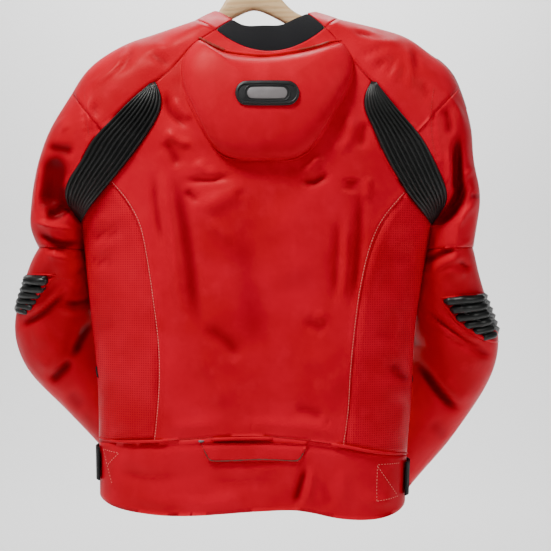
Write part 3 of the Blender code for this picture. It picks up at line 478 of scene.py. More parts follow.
@dataclass(frozen=True)
class Seam:
    """A sewn line that draws the leather in and puckers it a little."""

    line: Line
    groove: float = 0.9
    groove_width: float = 2.2
    pucker: float = 0.55
    spacing: float = 9.0
    reach: float = 9.0
    swell: float = 0.8
    swell_at: float = 5.0
    swell_width: float = 3.5

    def lift(self, points: Array) -> Array:
        """Give how far the seam lifts each point, in millimetres."""
        away, along = nearest(smooth_line(self.line, 4.0), points)
        wave = (np.sin(2 * math.pi * along / self.spacing + 1.7 * np.sin(along / 23.0))
                * (0.6 + 0.4 * np.sin(along / 31.0 + 1.0)))
        near = np.exp(-(away / self.reach) ** 2)
        roll = np.exp(-((np.abs(away) - self.swell_at) / self.swell_width) ** 2)
        return (self.pucker * wave * near + self.swell * roll
                - self.groove * np.exp(-(away / self.groove_width) ** 2))


def unevenness(points: Array, wavelength: float, seed: int) -> Array:
    """Give smooth random heights from about -1 to 1.

    Args:
        points: Points in three dimensions.
        wavelength: Typical distance between two rises, in the unit of the points.
        seed: Number that picks the pattern.

    Returns:
        A height for each point.
    """
    random = np.random.default_rng(seed)
    total = np.zeros(len(points))
    for _ in range(WAVES):
        turn = random.normal(size=3)
        turn *= 2 * math.pi / wavelength * random.uniform(0.6, 1.5) / np.linalg.norm(turn)
        total += np.sin(points @ turn + random.uniform(0, 2 * math.pi))
    return total / 4.0


TUBE_SIDES = 8


class Shape:
    """Vertex and face arrays that end as one mesh object."""

    def __init__(self, name: str) -> None:
        """Start an empty shape of that name."""
        self.name = name
        self.points: list[Array] = []
        self.faces: list[tuple[int, ...]] = []
        self.count = 0

    def loft(self, rings: Sequence[Array]) -> None:
        """Add rings of equally many points, joined by faces and closed at both ends."""
        size, faces = len(rings[0]), []
        for index in range(len(rings) - 1):
            for side in range(size):
                after = (side + 1) % size
                faces.append((index * size + side, index * size + after,
                              (index + 1) * size + after, (index + 1) * size + side))
        faces.append(tuple(range(size))[::-1])
        faces.append(tuple((len(rings) - 1) * size + side for side in range(size)))
        self.points.append(np.vstack(rings))
        self.faces.extend(tuple(i + self.count for i in face) for face in faces)
        self.count += len(rings) * size

    def tube(self, path: Array, radius: "float | Callable[[float], float]") -> None:
        """Lay a round tube along a path.

        Args:
            path: The tube's middle line, in metres.
            radius: Its radius in metres, or that as a function of the share of its length.
        """
        rings = []
        guide = np.array([0.0, -1.0, 0.13])
        turns = np.linspace(0, 2 * math.pi, TUBE_SIDES, endpoint=False)
        for index, point in enumerate(path):
            ahead = path[min(index + 1, len(path) - 1)] - path[max(index - 1, 0)]
            ahead /= np.linalg.norm(ahead)
            side = np.cross(ahead, guide)
            side /= np.linalg.norm(side)
            up = np.cross(side, ahead)
            size = radius(index / (len(path) - 1)) if callable(radius) else radius
            rings.append(point + size * (np.cos(turns)[:, None] * side
                                         + np.sin(turns)[:, None] * up))
        self.loft(rings)

    def build(self, material: bpy.types.Material, slot: str,
              smooth: bool = True) -> bpy.types.Object:
        """Make the object of the arrays; see place."""
        mesh = bpy.data.meshes.new(self.name)
        mesh.from_pydata(np.vstack(self.points).tolist(), [], self.faces)
        mesh.validate()
        return self.place(mesh, material, slot, smooth)

    def place(self, mesh: bpy.types.Mesh, material: bpy.types.Material, slot: str,
              smooth: bool = True) -> bpy.types.Object:
        """Link a mesh as an object that rides on the root body.

        Args:
            mesh: The mesh.
            material: Its material.
            slot: The record's material slot; not used.
            smooth: Whether its faces are shaded smoothly.

        Returns:
            The object.
        """
        made = bpy.data.objects.new(self.name, mesh)
        bpy.context.scene.collection.objects.link(made)
        mesh.materials.clear()
        mesh.materials.append(material)
        for face in mesh.polygons:
            face.use_smooth = smooth
        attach(made, "root")
        return made


@dataclass(frozen=True)
class Refining:
    """How a CAD solid becomes a soft piece: rounds of subdivision, and how sharp edges stay."""

    levels: int = 2
    rim: float = 0.75
    valley: float = 0.0


class Piece:
    """A finer copy of one CAD solid, which it stands for."""

    def __init__(self, node: str, frame: dict, how: Refining) -> None:
        """Copy, clean and subdivide a node's mesh.

        Args:
            node: Name of the CAD node.
            how: The refining.
        """
        self.node = node
        coarse = self.clean(frame["nodes"][node].data, how)
        self.mesh = self.subdivide(coarse, how.levels)
        self.mesh.name = "fine_" + node
        bpy.data.meshes.remove(coarse)
        self.coords = self.read("co") / MM
        self.normals = self.read("normal")
        # Share of painted shade in the hollows at each vertex; fold sets it.
        self.hollow = np.zeros(len(self.coords))

    @staticmethod
    def clean(data: bpy.types.Mesh, how: Refining) -> bpy.types.Mesh:
        """Join a solid's triangles into larger faces and mark its rims and valleys."""
        source = bmesh.new()
        source.from_mesh(data)
        bmesh.ops.remove_doubles(source, verts=source.verts, dist=1e-6)
        longest = {face: max(face.edges, key=lambda edge: edge.calc_length())
                   for face in source.faces}
        diagonals = [edge for edge in source.edges
                     if len(edge.link_faces) == 2
                     and all(longest[face] is edge for face in edge.link_faces)
                     and abs(edge.calc_face_angle(0.0)) < JOIN_TURN]
        bmesh.ops.dissolve_edges(source, edges=diagonals, use_verts=False)
        bmesh.ops.join_triangles(source, faces=source.faces, cmp_seam=False, cmp_sharp=False,
                                 cmp_uvs=False, cmp_vcols=False, cmp_materials=False,
                                 angle_face_threshold=JOIN_TURN, angle_shape_threshold=JOIN_SKEW)
        crease = source.edges.layers.float.new("crease_edge")
        for edge in source.edges:
            if len(edge.link_faces) != 2:
                continue
            turn = math.degrees(edge.calc_face_angle_signed(0.0))
            if turn > RIM_TURN:
                edge[crease] = how.rim
            elif turn < VALLEY_TURN:
                edge[crease] = how.valley
        mesh = bpy.data.meshes.new("coarse")
        source.to_mesh(mesh)
        source.free()
        return mesh

    @staticmethod
    def subdivide(mesh: bpy.types.Mesh, levels: int) -> bpy.types.Mesh:
        """Give a smooth copy of a mesh, subdivided that many times."""
        holder = bpy.data.objects.new("coarse", mesh)
        bpy.context.scene.collection.objects.link(holder)
        finer = holder.modifiers.new("finer", "SUBSURF")
        finer.levels = finer.render_levels = levels
        finer.use_limit_surface = False
        graph = bpy.context.evaluated_depsgraph_get()
        fine = bpy.data.meshes.new_from_object(holder.evaluated_get(graph))
        bpy.data.objects.remove(holder)
        return fine

    def read(self, name: str) -> Array:
        """Give one vector property of all vertices, a row for each."""
        values = np.zeros(len(self.mesh.vertices) * 3)
        self.mesh.vertices.foreach_get(name, values)
        return values.reshape(-1, 3)

    def reach(self, axis: int) -> tuple[Array, Array]:
        """Give the least and greatest coordinate of the tube's section beside each vertex."""
        heights = self.coords[:, 2]
        bins = np.linspace(heights.min(), heights.max(), SECTIONS)
        found = []
        for low, high in zip(bins, bins[1:]):
            section = self.coords[(heights >= low) & (heights <= high), axis]
            if len(section):
                found.append(((low + high) / 2, section.min(), section.max()))
        centres, least, most = np.array(found).T
        return np.interp(heights, centres, least), np.interp(heights, centres, most)

    def fold(self, folds: dict[Facing, Sequence["Fold | Seam"]], facing: Facing | None,
             rough: float) -> None:
        """Lift the surface by folds and seams, both faces of the wall alike.

        Args:
            folds: Folds and seams by the side that they are on.
            facing: The side that the piece is on, or None for a tube.
            rough: Strength of the unevenness between the folds.
        """
        back, front = self.reach(1)
        toward = (np.where(self.coords[:, 1] < (back + front) / 2, -1.0, 1.0)
                  if facing is None else np.full(len(self.coords), facing.value))
        places = self.coords[:, [0, 2]]
        total = np.zeros(len(places))
        for side, lines in folds.items():
            mine = toward == side.value
            for line in lines:
                knots = np.array(line.line)
                near = (mine & (places > knots.min(axis=0) - FOLD_REACH).all(axis=1)
                        & (places < knots.max(axis=0) + FOLD_REACH).all(axis=1))
                if near.any():
                    total[near] += line.lift(places[near])
        # Painted shade: the share of the hollow colour grows with the depth of the folds and seam
        # grooves.
        self.hollow = np.clip(-total / DARK_DEPTH, 0.0, 1.0)
        total += rough * sum(height * unevenness(self.coords, wavelength, seed)
                             for height, wavelength, seed in UNEVENNESS)
        self.coords[:, 1] += toward * np.abs(self.normals[:, 1]) ** 0.7 * total

    def press(self, amount: float) -> None:
        """Draw the inner side of a sleeve against the jacket's side, below the armpit.

        Args:
            amount: How far it is drawn, in millimetres.
        """
        least, most = self.reach(0)
        share = np.clip((self.coords[:, 0] - least) / (most - least), 0.0, 1.0)
        inward = -math.copysign(1.0, self.coords[:, 0].mean())
        share = share if inward > 0 else 1.0 - share
        off = np.clip(np.abs(self.coords[:, 2] - PRESSED_AT) / PRESSED_REACH, 0.0, 1.0)
        self.coords[:, 0] += (inward * amount * share ** PRESSED_FALL
                              * np.cos(off * math.pi / 2) ** 2)

    def sharpen(self) -> None:
        """Deepen the ribs: move each vertex away from the mean of its surroundings."""
        ends = np.zeros(len(self.mesh.edges) * 2, dtype=np.int64)
        self.mesh.edges.foreach_get("vertices", ends)
        first, second = ends.reshape(-1, 2).T
        shares = np.bincount(first, minlength=len(self.coords)) + np.bincount(
            second, minlength=len(self.coords))
        mean = self.coords.copy()
        for _ in range(RIB_ROUNDS):
            total = np.zeros_like(mean)
            np.add.at(total, first, mean[second])
            np.add.at(total, second, mean[first])
            mean = total / shares[:, None]
        rise = np.einsum("ij,ij->i", self.coords - mean, self.normals)
        self.coords += RIB_GAIN * np.clip(rise, RIB_LEAST, RIB_MOST)[:, None] * self.normals

    def finish(self, material: bpy.types.Material, slot: str) -> bpy.types.Object:
        """Make the piece's object, with its material, in place of its node."""
        self.mesh.vertices.foreach_set("co", (self.coords * MM).ravel())
        # The painted shade share goes to the material as the hollow attribute.
        depth = self.mesh.attributes.new("hollow", "FLOAT", "POINT")
        depth.data.foreach_set("value", self.hollow.astype(np.float32))
        LOG.info("%s: %d faces", self.node, len(self.mesh.polygons))
        self.mesh.update()
        made = Shape("soft_" + self.node).place(self.mesh, material, slot)
        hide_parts(self.node)
        return made


class Surface:
    """Everything that stitches and trim can be laid on."""

    def __init__(self, objects: Iterable[bpy.types.Object]) -> None:
        """Collect the triangles of objects whose meshes are final."""
        points: list[Vector] = []
        faces: list[tuple[int, ...]] = []
        for thing in objects:
            base = len(points)
            points.extend(v.co.copy() for v in thing.data.vertices)
            faces.extend(tuple(i + base for i in face.vertices) for face in thing.data.polygons)
        self.tree = BVHTree.FromPolygons(points, faces)

    def cast(self, place: Place, facing: Facing) -> tuple[Array, Array] | None:
        """Find the outermost point over a place, and the normal there.

        Args:
            place: X and Z in millimetres.
            facing: The side to look from.

        Returns:
            Point in metres and unit normal, or None where nothing is met.
        """
        start = Vector((place[0] * MM, facing.value * 0.6, place[1] * MM))
        hit, normal, _, _ = self.tree.ray_cast(start, Vector((0.0, -facing.value, 0.0)))
        if hit is None:
            return None
        outward = np.array(normal)
        if outward[1] * facing.value < 0:
            outward = -outward
        return np.array(hit), outward

    def drape(self, line: Array, facing: Facing, lift: float) -> tuple[Array, Array]:
        """Lay a line on the surface.

        Args:
            line: X and Z of its points, in millimetres.
            facing: The side that it is on.
            lift: Height over the surface in millimetres.

        Returns:
            Its points in metres, and the normals there.
        """
        found = [self.cast(tuple(place), facing) for place in line]
        kept = [hit for hit in found if hit is not None]
        points = np.array([point + normal * lift * MM for point, normal in kept])
        return points, np.array([normal for _, normal in kept])


TRIM_STEP = 2.0
STITCH_JUMP = 8 * MM
STITCH_SECTIONS = ((0.0, 0.35, -0.15), (0.25, 1.0, 0.0), (0.75, 1.0, 0.0), (1.0, 0.35, -0.15))


@dataclass(frozen=True)
class Row:
    """A row of stitches along a line, moved sideways by shift."""

    line: Line
    facing: Facing = Facing.BACK
    shift: float = 0.0
    pitch: float = 3.8
    length: float = 2.8
    radius: float = 0.36

    def lay(self, shape: Shape, surface: Surface) -> None:
        """Add the row's stitches to a shape, sewn to a surface."""
        line = smooth_line(self.line, TRIM_STEP)
        if self.shift:
            ahead = np.gradient(line, axis=0)
            ahead /= np.linalg.norm(ahead, axis=1)[:, None]
            line = line + self.shift * np.column_stack([ahead[:, 1], -ahead[:, 0]])
        points, normals = surface.drape(line, self.facing, 0.05)
        jumps = np.linalg.norm(np.diff(points, axis=0), axis=1)
        reach = np.concatenate([[0.0], np.cumsum(jumps)]) / MM
        for middle in np.arange(self.pitch / 2, reach[-1], self.pitch):
            index = min(int(np.searchsorted(reach, middle)), len(points) - 1)
            if jumps[max(index - 1, 0)] > STITCH_JUMP:
                continue
            start, end = (np.array([np.interp(middle + side * self.length / 2, reach,
                                              points[:, axis]) for axis in range(3)])
                          for side in (-1, 1))
            self.stitch(shape, start, end, normals[index])

    def stitch(self, shape: Shape, start: Array, end: Array, normal: Array) -> None:
        """Add one stitch, a low bead between two points."""
        ahead = end - start
        if np.linalg.norm(ahead) < 1e-6:
            return
        ahead = ahead / np.linalg.norm(ahead)
        side = np.cross(ahead, normal)
        turns = np.linspace(0, 2 * math.pi, 5, endpoint=False)
        rings = []
        for share, size, rise in STITCH_SECTIONS:
            middle = start + (end - start) * share + normal * rise * MM
            radius = self.radius * size * MM
            rings.append(middle + radius * (np.cos(turns)[:, None] * side
                                            + 0.7 * np.sin(turns)[:, None] * normal))
        shape.loft(rings)


@dataclass(frozen=True)
class Band:
    """A rolled or piped edge: a round strip that lies on the surface along a line."""

    line: Line
    radius: float
    lift: float = 0.0
    fray: float = 0.0
    rounds: int = 8

    def lay(self, shape: Shape, surface: Surface) -> None:
        """Add the band to a shape, thinner at its ends and uneven where it is frayed."""
        points, _ = surface.drape(smooth_line(self.line, TRIM_STEP), Facing.BACK, self.lift)
        smooth = points.copy()
        for _ in range(self.rounds):
            smooth[1:-1] = (smooth[:-2] + smooth[1:-1] + smooth[2:]) / 3
        random = np.random.default_rng(len(points))
        rough = random.uniform(1.0 - self.fray, 1.0 + self.fray, len(points) + 1)

        def radius(share: float) -> float:
            taper = min(1.0, 0.35 + 6.0 * min(share, 1.0 - share))
            return self.radius * MM * taper * rough[int(share * len(points))]

        shape.tube(smooth, radius)


def folds(rows: Iterable[Sequence[float]]) -> tuple[Fold, ...]:
    """Make folds of rows: width, rise, then X and Z of each point of the line."""
    return tuple(Fold(tuple(zip(row[2::2], row[3::2])), row[0], row[1]) for row in rows)


# Each row: width, rise, then X and Z of each point of the fold's line.
FOLDS_SEEN = folds((
    # back centre, below the hump and down to the waist
    (7, 2.2, -113, -332, -106, -389, -97, -456, -91, -529),
    (11, -3.2, -102, -319, -92, -376, -81, -440, -74, -503, -62, -549),
    (6, -2.5, -125, -332, -123, -376, -114, -433),
    (12, 3, -66, -385, -38, -368, -3, -355),
    (5, -2.5, -86, -357, -67, -373),
    (5, -2.2, -89, -346, -60, -345, -23, -340),
    (6, -1.6, -23, -366, -5, -360),
    (8, 1.6, -60, -398, -38, -411, -25, -427),
    (6, 3.2, 65, -339, 76, -327, 88, -314),
    (6, -3, 61, -349, 81, -346, 98, -335),
    (9, -2.2, 127, -342, 125, -361),
    (6, -2.4, 109, -392, 108, -449, 104, -505),
    (5, 2.2, 120, -390, 120, -446, 116, -497),
    (7, -2.8, 137, -344, 137, -414, 129, -516),
    (5, 1.8, 148, -339, 148, -370),
    (30, 3.5, 29, -370, 51, -421, 61, -487),
    (26, -2, -15, -389, -3, -497, 13, -574),
    (9, -2.4, -62, -531, -32, -551, -15, -574),
    (8, -2, 64, -525, 79, -530, 94, -541),
    (7, 1.5, 84, -512, 89, -525),
    (14, 2.2, -71, -563, -47, -599, -38, -638),
    (8, -2.2, 51, -636, 71, -640, 94, -649),
    (8, 1.6, -110, -664, -79, -658, -38, -656),
    (7, 1.6, -26, -659, 23, -656, 74, -661, 110, -669),
    (2.5, -0.9, 0, -652, 1, -667),
    (2.5, -0.9, 93, -660, 99, -651),
    (16, 2, 61, -561, 99, -586, 112, -625),
    # back centre, beside the hump
    (6, -2.8, -111, -229, -104, -258, -80, -279),
    (5, 2, -102, -240, -89, -256, -76, -269),
    (6, 2.6, -111, -282, -94, -294, -76, -303),
    (7, -2.6, -112, -294, -102, -310, -92, -329),
    (7, 2, -71, -319, -61, -333, -43, -342),
    (8, 2.2, 127, -255, 125, -287, 109, -313),
    (6, -2, 145, -268, 140, -306),
    # side panels of the back
    (7, 2.4, -214, -404, -177, -393, -152, -390),
    (6, -2.6, -214, -417, -191, -413, -169, -406),
    (7, 2.2, -206, -431, -174, -421),
    (6, -2.4, -217, -446, -193, -448, -174, -442),
    (8, 1.6, -218, -468, -185, -465),
    (10, -1.4, -210, -538, -171, -526),
    (9, 2.2, -183, -656, -153, -662),
    (9, 1.2, -201, -593, -158, -583),
    (8, -3.2, 175, -579, 191, -593, 207, -610),
    (8, 3, 166, -598, 184, -612, 204, -625),
    (7, 2, 195, -635, 194, -675),
    (8, 2.2, 180, -415, 219, -420),
    (8, -1.8, 175, -440, 208, -448),
    (12, 1.8, 159, -498, 195, -506),
    (10, -1.6, 154, -536, 186, -550),
    # waistband
    (4, -1.6, -204, -686, -178, -688, -128, -685, -69, -681, -3, -679, 52, -681, 119, -691, 156,
     -701, 201, -707),
    (6, -3.6, 69, -709, 61, -738, 53, -764),
    (6, 2.2, 78, -710, 74, -735, 69, -757),
    (9, -1.6, -184, -720, -132, -727, -80, -720),
    (6, 1.6, -172, -753, -119, -757, -54, -757, -3, -753),
    (9, -1.4, -60, -727, -16, -732, 36, -727),
    (8, 1.6, 113, -716, 119, -754),
    (8, -1.6, 89, -728, 100, -764),
    (5, 1.8, 139, -750, 160, -759, 187, -760),
    # left shoulder
    (5, 3, -163, -166, -173, -193, -190, -209, -207, -220, -212, -229),
    (6, -2.2, -155, -164, -163, -191, -180, -207),
    (5, -2.2, -202, -241, -201, -265),
    (3.5, 1.8, -212, -235, -209, -267, -207, -282),
    (5, -2.4, -134, -178, -121, -187, -105, -198),
    (5, 1.8, -130, -166, -106, -176),
    # left sleeve
    (9, 2.2, -251, -261, -240, -281),
    (7, -4, -270, -297, -251, -302, -226, -308),
    (17, -8, -256, -306, -258, -343, -262, -372, -263, -388),
    (7, -6, -240, -372, -256, -386, -272, -388),
    (5, 2.5, -279, -314, -283, -354, -288, -388),
    (5, 1.2, -249, -355, -234, -338),
    (3.5, 4.5, -287, -396, -257, -404, -234, -408),
    (5, -5, -283, -409, -255, -424, -235, -420),
    (5, -3, -275, -430, -261, -431, -250, -433),
    (4, 4.5, -273, -438, -257, -443, -246, -447, -221, -449),
    (9, 2.5, -270, -451, -253, -454, -241, -459),
    (4, -2.5, -239, -451, -247, -467),
    (4, 3, -254, -471, -271, -490, -292, -509, -321, -522),
    (4.5, -4, -255, -483, -271, -502, -290, -520, -318, -534),
    (4.5, -3.6, -219, -493, -243, -502, -264, -503),
    (5, 3, -219, -503, -246, -514, -267, -509),
    (6, -5, -230, -526, -239, -551, -247, -578),
    (7, -5, -247, -578, -263, -596, -280, -613),
    (12, 3, -260, -553, -278, -583, -291, -597),
    (5, 2.5, -213, -541, -226, -568),
    (14, 1.8, -300, -553, -272, -547),
    (14, -2, -257, -625, -234, -651),
    # right shoulder
    (3.5, 2.6, 201, -167, 204, -198, 203, -226),
    (5, -2.2, 210, -172, 212, -204),
    (4, 1.8, 191, -189, 179, -216),
    (4, -1.4, 186, -186, 173, -208),
    (4, -2.2, 130, -150, 158, -155),
    (5, 1.8, 149, -167, 170, -165, 193, -160),
    (4, -1.8, 136, -184, 154, -177, 174, -169),
    (4.5, 1.6, 146, -192, 164, -185, 181, -178),
    (3.5, -1.6, 156, -201, 173, -192),
    # right sleeve
    (7, -2, 215, -215, 228, -241),
    (5, 2.6, 242, -225, 258, -239, 269, -254, 274, -273),
    (6, -2.8, 247, -248, 254, -269, 254, -289),
    (7, -9, 268, -281, 265, -307, 266, -342, 269, -358, 260, -383, 245, -408),
    (4, 3, 250, -305, 254, -328, 254, -355),
    (4, 3, 274, -338, 296, -323),
    (4, -3, 282, -363, 304, -361),
    (6, 3.5, 267, -404, 277, -386, 293, -370),
    (2.5, 2, 267, -429, 273, -428, 291, -418),
    (5, -4.5, 247, -453, 254, -442, 275, -428),
    (4.5, 3, 246, -473, 255, -456, 265, -448, 279, -441),
    (3.5, -3.2, 276, -446, 290, -459),
    (7, 2.6, 265, -456, 285, -469),
    (5, -2.4, 239, -479, 248, -464),
    (3.2, 2.6, 251, -501, 276, -532, 309, -553, 321, -552),
    (3, -3.2, 246, -507, 264, -531, 288, -552, 320, -567),
    (3.6, 2.6, 240, -503, 258, -531, 280, -551, 305, -566, 316, -565),
    (5, -4, 270, -548, 302, -566, 327, -576),
    (6, 2, 317, -561, 318, -560),
    (7, -5.5, 226, -578, 243, -610, 267, -639, 287, -654),
    (8, 3.5, 253, -594, 274, -625, 298, -643),
    (16, 1.8, 279, -539, 307, -597),
    (6, -3, 229, -541, 233, -568),
    (12, -2, 242, -665, 270, -695),
))

FOLDS_HIDDEN = folds((
    # front panels
    (14, 4, -70, -300, -60, -380, -55, -470, -62, -560),
    (12, -4, -110, -330, -96, -420, -92, -520),
    (9, 3, -150, -360, -120, -400, -95, -410),
    (14, 4, 75, -300, 70, -380, 66, -470, 72, -560),
    (12, -4, 118, -330, 108, -420, 104, -520),
    (9, 3, 160, -360, 132, -400, 104, -412),
    (10, 2.5, -160, -640, -110, -650, -50, -645),
    (10, 2.5, 60, -645, 110, -655, 165, -648),
    (10, -3, -190, -470, -170, -520, -176, -600),
    (10, -3, 196, -470, 178, -520, 184, -600),
    # sleeves, seen from the front
    (6, 4, -295, -440, -262, -452, -225, -446),
    (6, -4.5, -300, -456, -262, -470, -226, -464),
    (6, -3.5, -290, -420, -260, -428, -232, -420),
    (6, 4, 232, -444, 262, -454, 292, -440),
    (6, -4.5, 232, -462, 264, -474, 298, -458),
    (6, -3.5, 236, -420, 262, -428, 290, -418),
    (10, 3.5, -270, -560, -240, -590, -215, -640),
    (9, -3, -300, -560, -268, -600, -236, -650),
    (10, 3.5, 276, -560, 250, -596, 228, -640),
    (9, -3, 306, -560, 280, -604, 250, -654),
    (9, 3.5, -250, -330, -252, -370, -246, -404),
    (9, 3.5, 262, -330, 262, -370, 258, -404),
    (8, -3.5, -215, -270, -222, -310, -218, -350),
    (8, -3.5, 230, -270, 236, -310, 232, -350),
    # waistband, seen from the front
    (6, 1.6, -200, -700, -204, -720, -200, -742),
))

SIDE_SEAMS = (
    ((-128, -678), (-124, -641), (-121, -600), (-122, -555), (-128, -504), (-135, -456),
     (-145, -405), (-161, -373), (-182, -347)),
    ((119, -685), (125, -641), (128, -589), (133, -536), (140, -485), (152, -433), (169, -395),
     (197, -361)),
)

ARM_SEAMS = (
    ((-220, -223), (-216, -255), (-211, -289)),
    ((236, -225), (232, -254), (233, -289), (238, -315)),
)

FOLDS = {
    Facing.BACK: FOLDS_SEEN + tuple(Seam(line) for line in SIDE_SEAMS + ARM_SEAMS),
    Facing.FRONT: FOLDS_HIDDEN,
}

RAGLAN_SEAMS = (
    ((-130, -220), (-118, -211), (-105, -200), (-95, -194)),
    ((156, -214), (146, -205), (133, -193)),
)

SLEEVE_SEAMS = (
    ((-258, -467), (-242, -468), (-222, -473)),
    ((255, -431), (273, -428), (291, -418)),
)

WAIST_SEAM = ((-202, -676), (-178, -678), (-128, -675), (-69, -671), (-3, -668), (52, -671),
              (119, -681), (156, -690), (202, -697))

WAIST_ROLL = ((-203, -680), (-178, -682), (-128, -679), (-69, -675), (-3, -673), (52, -675),
              (119, -685), (156, -694), (203, -701))

HUMP_EDGE = ((-86, -178), (-91, -199), (-90, -215), (-86, -232), (-77, -251), (-58, -290),
             (-46, -307), (-32, -317), (-7, -320), (48, -320), (61, -316), (74, -307), (92, -282),
             (118, -237), (129, -210), (131, -192), (124, -177))

HUMP_LIP = ((-69, -160), (-52, -170), (-34, -178), (-9, -182), (13, -184), (34, -182), (56, -178),
            (78, -173), (100, -165), (115, -163))

TAB_EDGE = ((-67, -678), (-62, -687), (-56.5, -699), (-55, -701.5), (-52.5, -702.6), (-30, -702.2),
            (4, -700.4), (30, -700.8), (56, -702.6), (59.5, -702), (61.5, -699.5), (68, -687),
            (75, -678))

TAB_CHIP = ((-69, -677.5), (-65, -678.5), (-61, -677.5))

TAPE_END = ((-207, -586), (-206.5, -594), (-204, -601))

STRAP_BOXES = (
    ((-197, -694), (-191, -714), (-184, -737)),
    ((-174, -697), (-184, -707), (-191, -715)),
    ((-197, -694), (-174, -697)),
    ((162, -711), (176, -711), (193, -712)),
    ((162, -711), (161, -736), (161, -758)),
    ((162, -713), (175, -732), (189, -753)),
    ((161, -758), (176, -757), (192, -755)),
)

FRONT_ROWS = (
    ((-34, -250), (-28, -400), (-22, -560), (-16, -684)),
    ((44, -250), (40, -400), (36, -560), (32, -684)),
    ((-200, -700), (-120, -706), (-20, -704)),
    ((200, -702), (120, -706), (24, -704)),
)

ELBOW_EDGES = (
    ((-261, -467), (-272, -476), (-281, -486), (-291, -496), (-304, -507), (-319, -518)),
    ((252, -500), (277, -531), (308, -550), (340, -558)),
    ((-298, -465), (-277, -465), (-258, -465)),
    ((250, -496), (274, -493), (305, -491)),
)

# Each row: radius of the rib, then its line.
ELBOW_RIBS = (
    (5.8, ((-305, -473), (-288, -473), (-269, -473))),
    (5.5, ((-309, -483), (-292, -484), (-275, -484))),
    (5, ((-313, -491.5), (-297, -492), (-282, -492.5))),
    (4.6, ((-316, -499), (-302, -500.5), (-288, -501))),
    (4.3, ((-319, -506), (-306, -508), (-294, -509))),
    (3.8, ((-321, -512.5), (-312, -514.5), (-302, -515))),
    (6, ((253, -500), (285, -498), (309, -494.7))),
    (6.2, ((261, -511), (290, -509), (314, -506.5))),
    (6, ((269, -522.5), (296, -519.5), (316.5, -516.5))),
    (5.7, ((281, -533), (302, -530), (320, -527))),
    (5.4, ((293, -541.5), (311, -539), (325, -536))),
    (5, ((307, -549.5), (318, -548), (329, -545.5))),
)

# Each row: object, finish, slot, and the rows of stitches or bands that it is made of.
STRIPS = (
    ("thread_pale", "thread", "red_leather",
     [*(Row(line, shift=shift, radius=0.48) for line, shift in zip(SIDE_SEAMS, (2.4, -2.4))),
      *(Row(line, pitch=4.4) for line in STRAP_BOXES)]),
    ("thread_red", "red_thread", "red_leather",
     [Row(WAIST_SEAM, shift=3.0),
      *(Row(line, shift=shift) for line, shift in zip(ARM_SEAMS, (-2.6, 2.6))),
      *(Row(line, shift=shift) for line, shift in zip(RAGLAN_SEAMS, (2.6, -2.6))),
      Row(HUMP_EDGE, shift=-3.4),
      *(Row(line, shift=3.0) for line in SLEEVE_SEAMS),
      *(Row(line, facing=Facing.FRONT) for line in FRONT_ROWS)]),
    ("elbow_bands", "red_leather", "red_leather",
     [Band(line, radius, lift) for line, (radius, lift)
      in zip(ELBOW_EDGES, ((2.6, 0.6), (2.6, 0.6), (1.5, 0.3), (1.5, 0.3)))]),
    ("hump_lip", "red_leather", "red_leather", [Band(HUMP_LIP, 2.0, 0.2), Band(HUMP_EDGE, 1.1)]),
    ("waist_roll", "red_leather", "red_leather", [Band(WAIST_ROLL, 2.3, 1.9, rounds=40)]),
    ("elbow_ribs", "ribbed_leather", "stretch_black",
     [Band(line, radius, 0.6) for radius, line in ELBOW_RIBS]),
    ("seam_tape_end", "woven_tape", "red_leather", [Band(TAPE_END, 1.6, 0.4)]),
    ("hump_wear", "worn_red_leather", "red_leather",
     [Band(HUMP_LIP[:3], 1.9, 1.3, 0.3), Band(HUMP_LIP[-4:-1], 1.4, 1.3, 0.3)]),
    ("tab_piping", "frayed_piping", "red_leather", [Band(TAB_EDGE, 0.8, fray=0.35)]),
    ("tab_chip", "reflective_inset", "red_leather", [Band(TAB_CHIP, 1.7, fray=0.2)]),
)

PATCH_CENTRE = (19.5, -238.0)
# Each row: half length, half height and lift of one outline of the inset.
INSET_OUTLINES = ((25.0, 7.4, -0.2), (25.0, 7.4, 0.5), (24.2, 6.6, 0.8), (12.0, 3.0, 0.9))
# Each row: half length, half height and tube radius of one rim.
PATCH_RIMS = ((37.6, 12.6, 1.4), (28.4, 10.2, 0.8))
# Each row: half width and height of one section of a tooth, from its root to its tip.
TOOTH_SECTIONS = ((0.36, 0.8), (0.42, 1.1), (0.5, 1.2))
# Each row: zip, half width of its row of teeth and their pitch.
ZIPS = (("main_zip", 2.2, 2.6), ("pocket_zip_l", 1.8, 2.2), ("pocket_zip_r", 1.8, 2.2))
SPINE_BINS, SPINE_MARGIN = 12, 1.0


def stadium(half_length: float, half_height: float, count: int) -> Array:
    """Draw a round-ended outline about the patch's middle, as X and Z in millimetres.

    Args:
        half_length: Its half length.
        half_height: Its half height, which is the radius of its ends.
        count: Its points.

    Returns:
        The points, a row for each.
    """
    straight = half_length - half_height
    turns = np.linspace(0.0, 2 * math.pi, count, endpoint=False)
    ends = np.sign(np.cos(turns)) * straight * np.clip(np.abs(np.cos(turns)) * 3.0, 0.0, 1.0)
    return np.column_stack([PATCH_CENTRE[0] + ends + half_height * np.cos(turns),
                            PATCH_CENTRE[1] + half_height * np.sin(turns)])


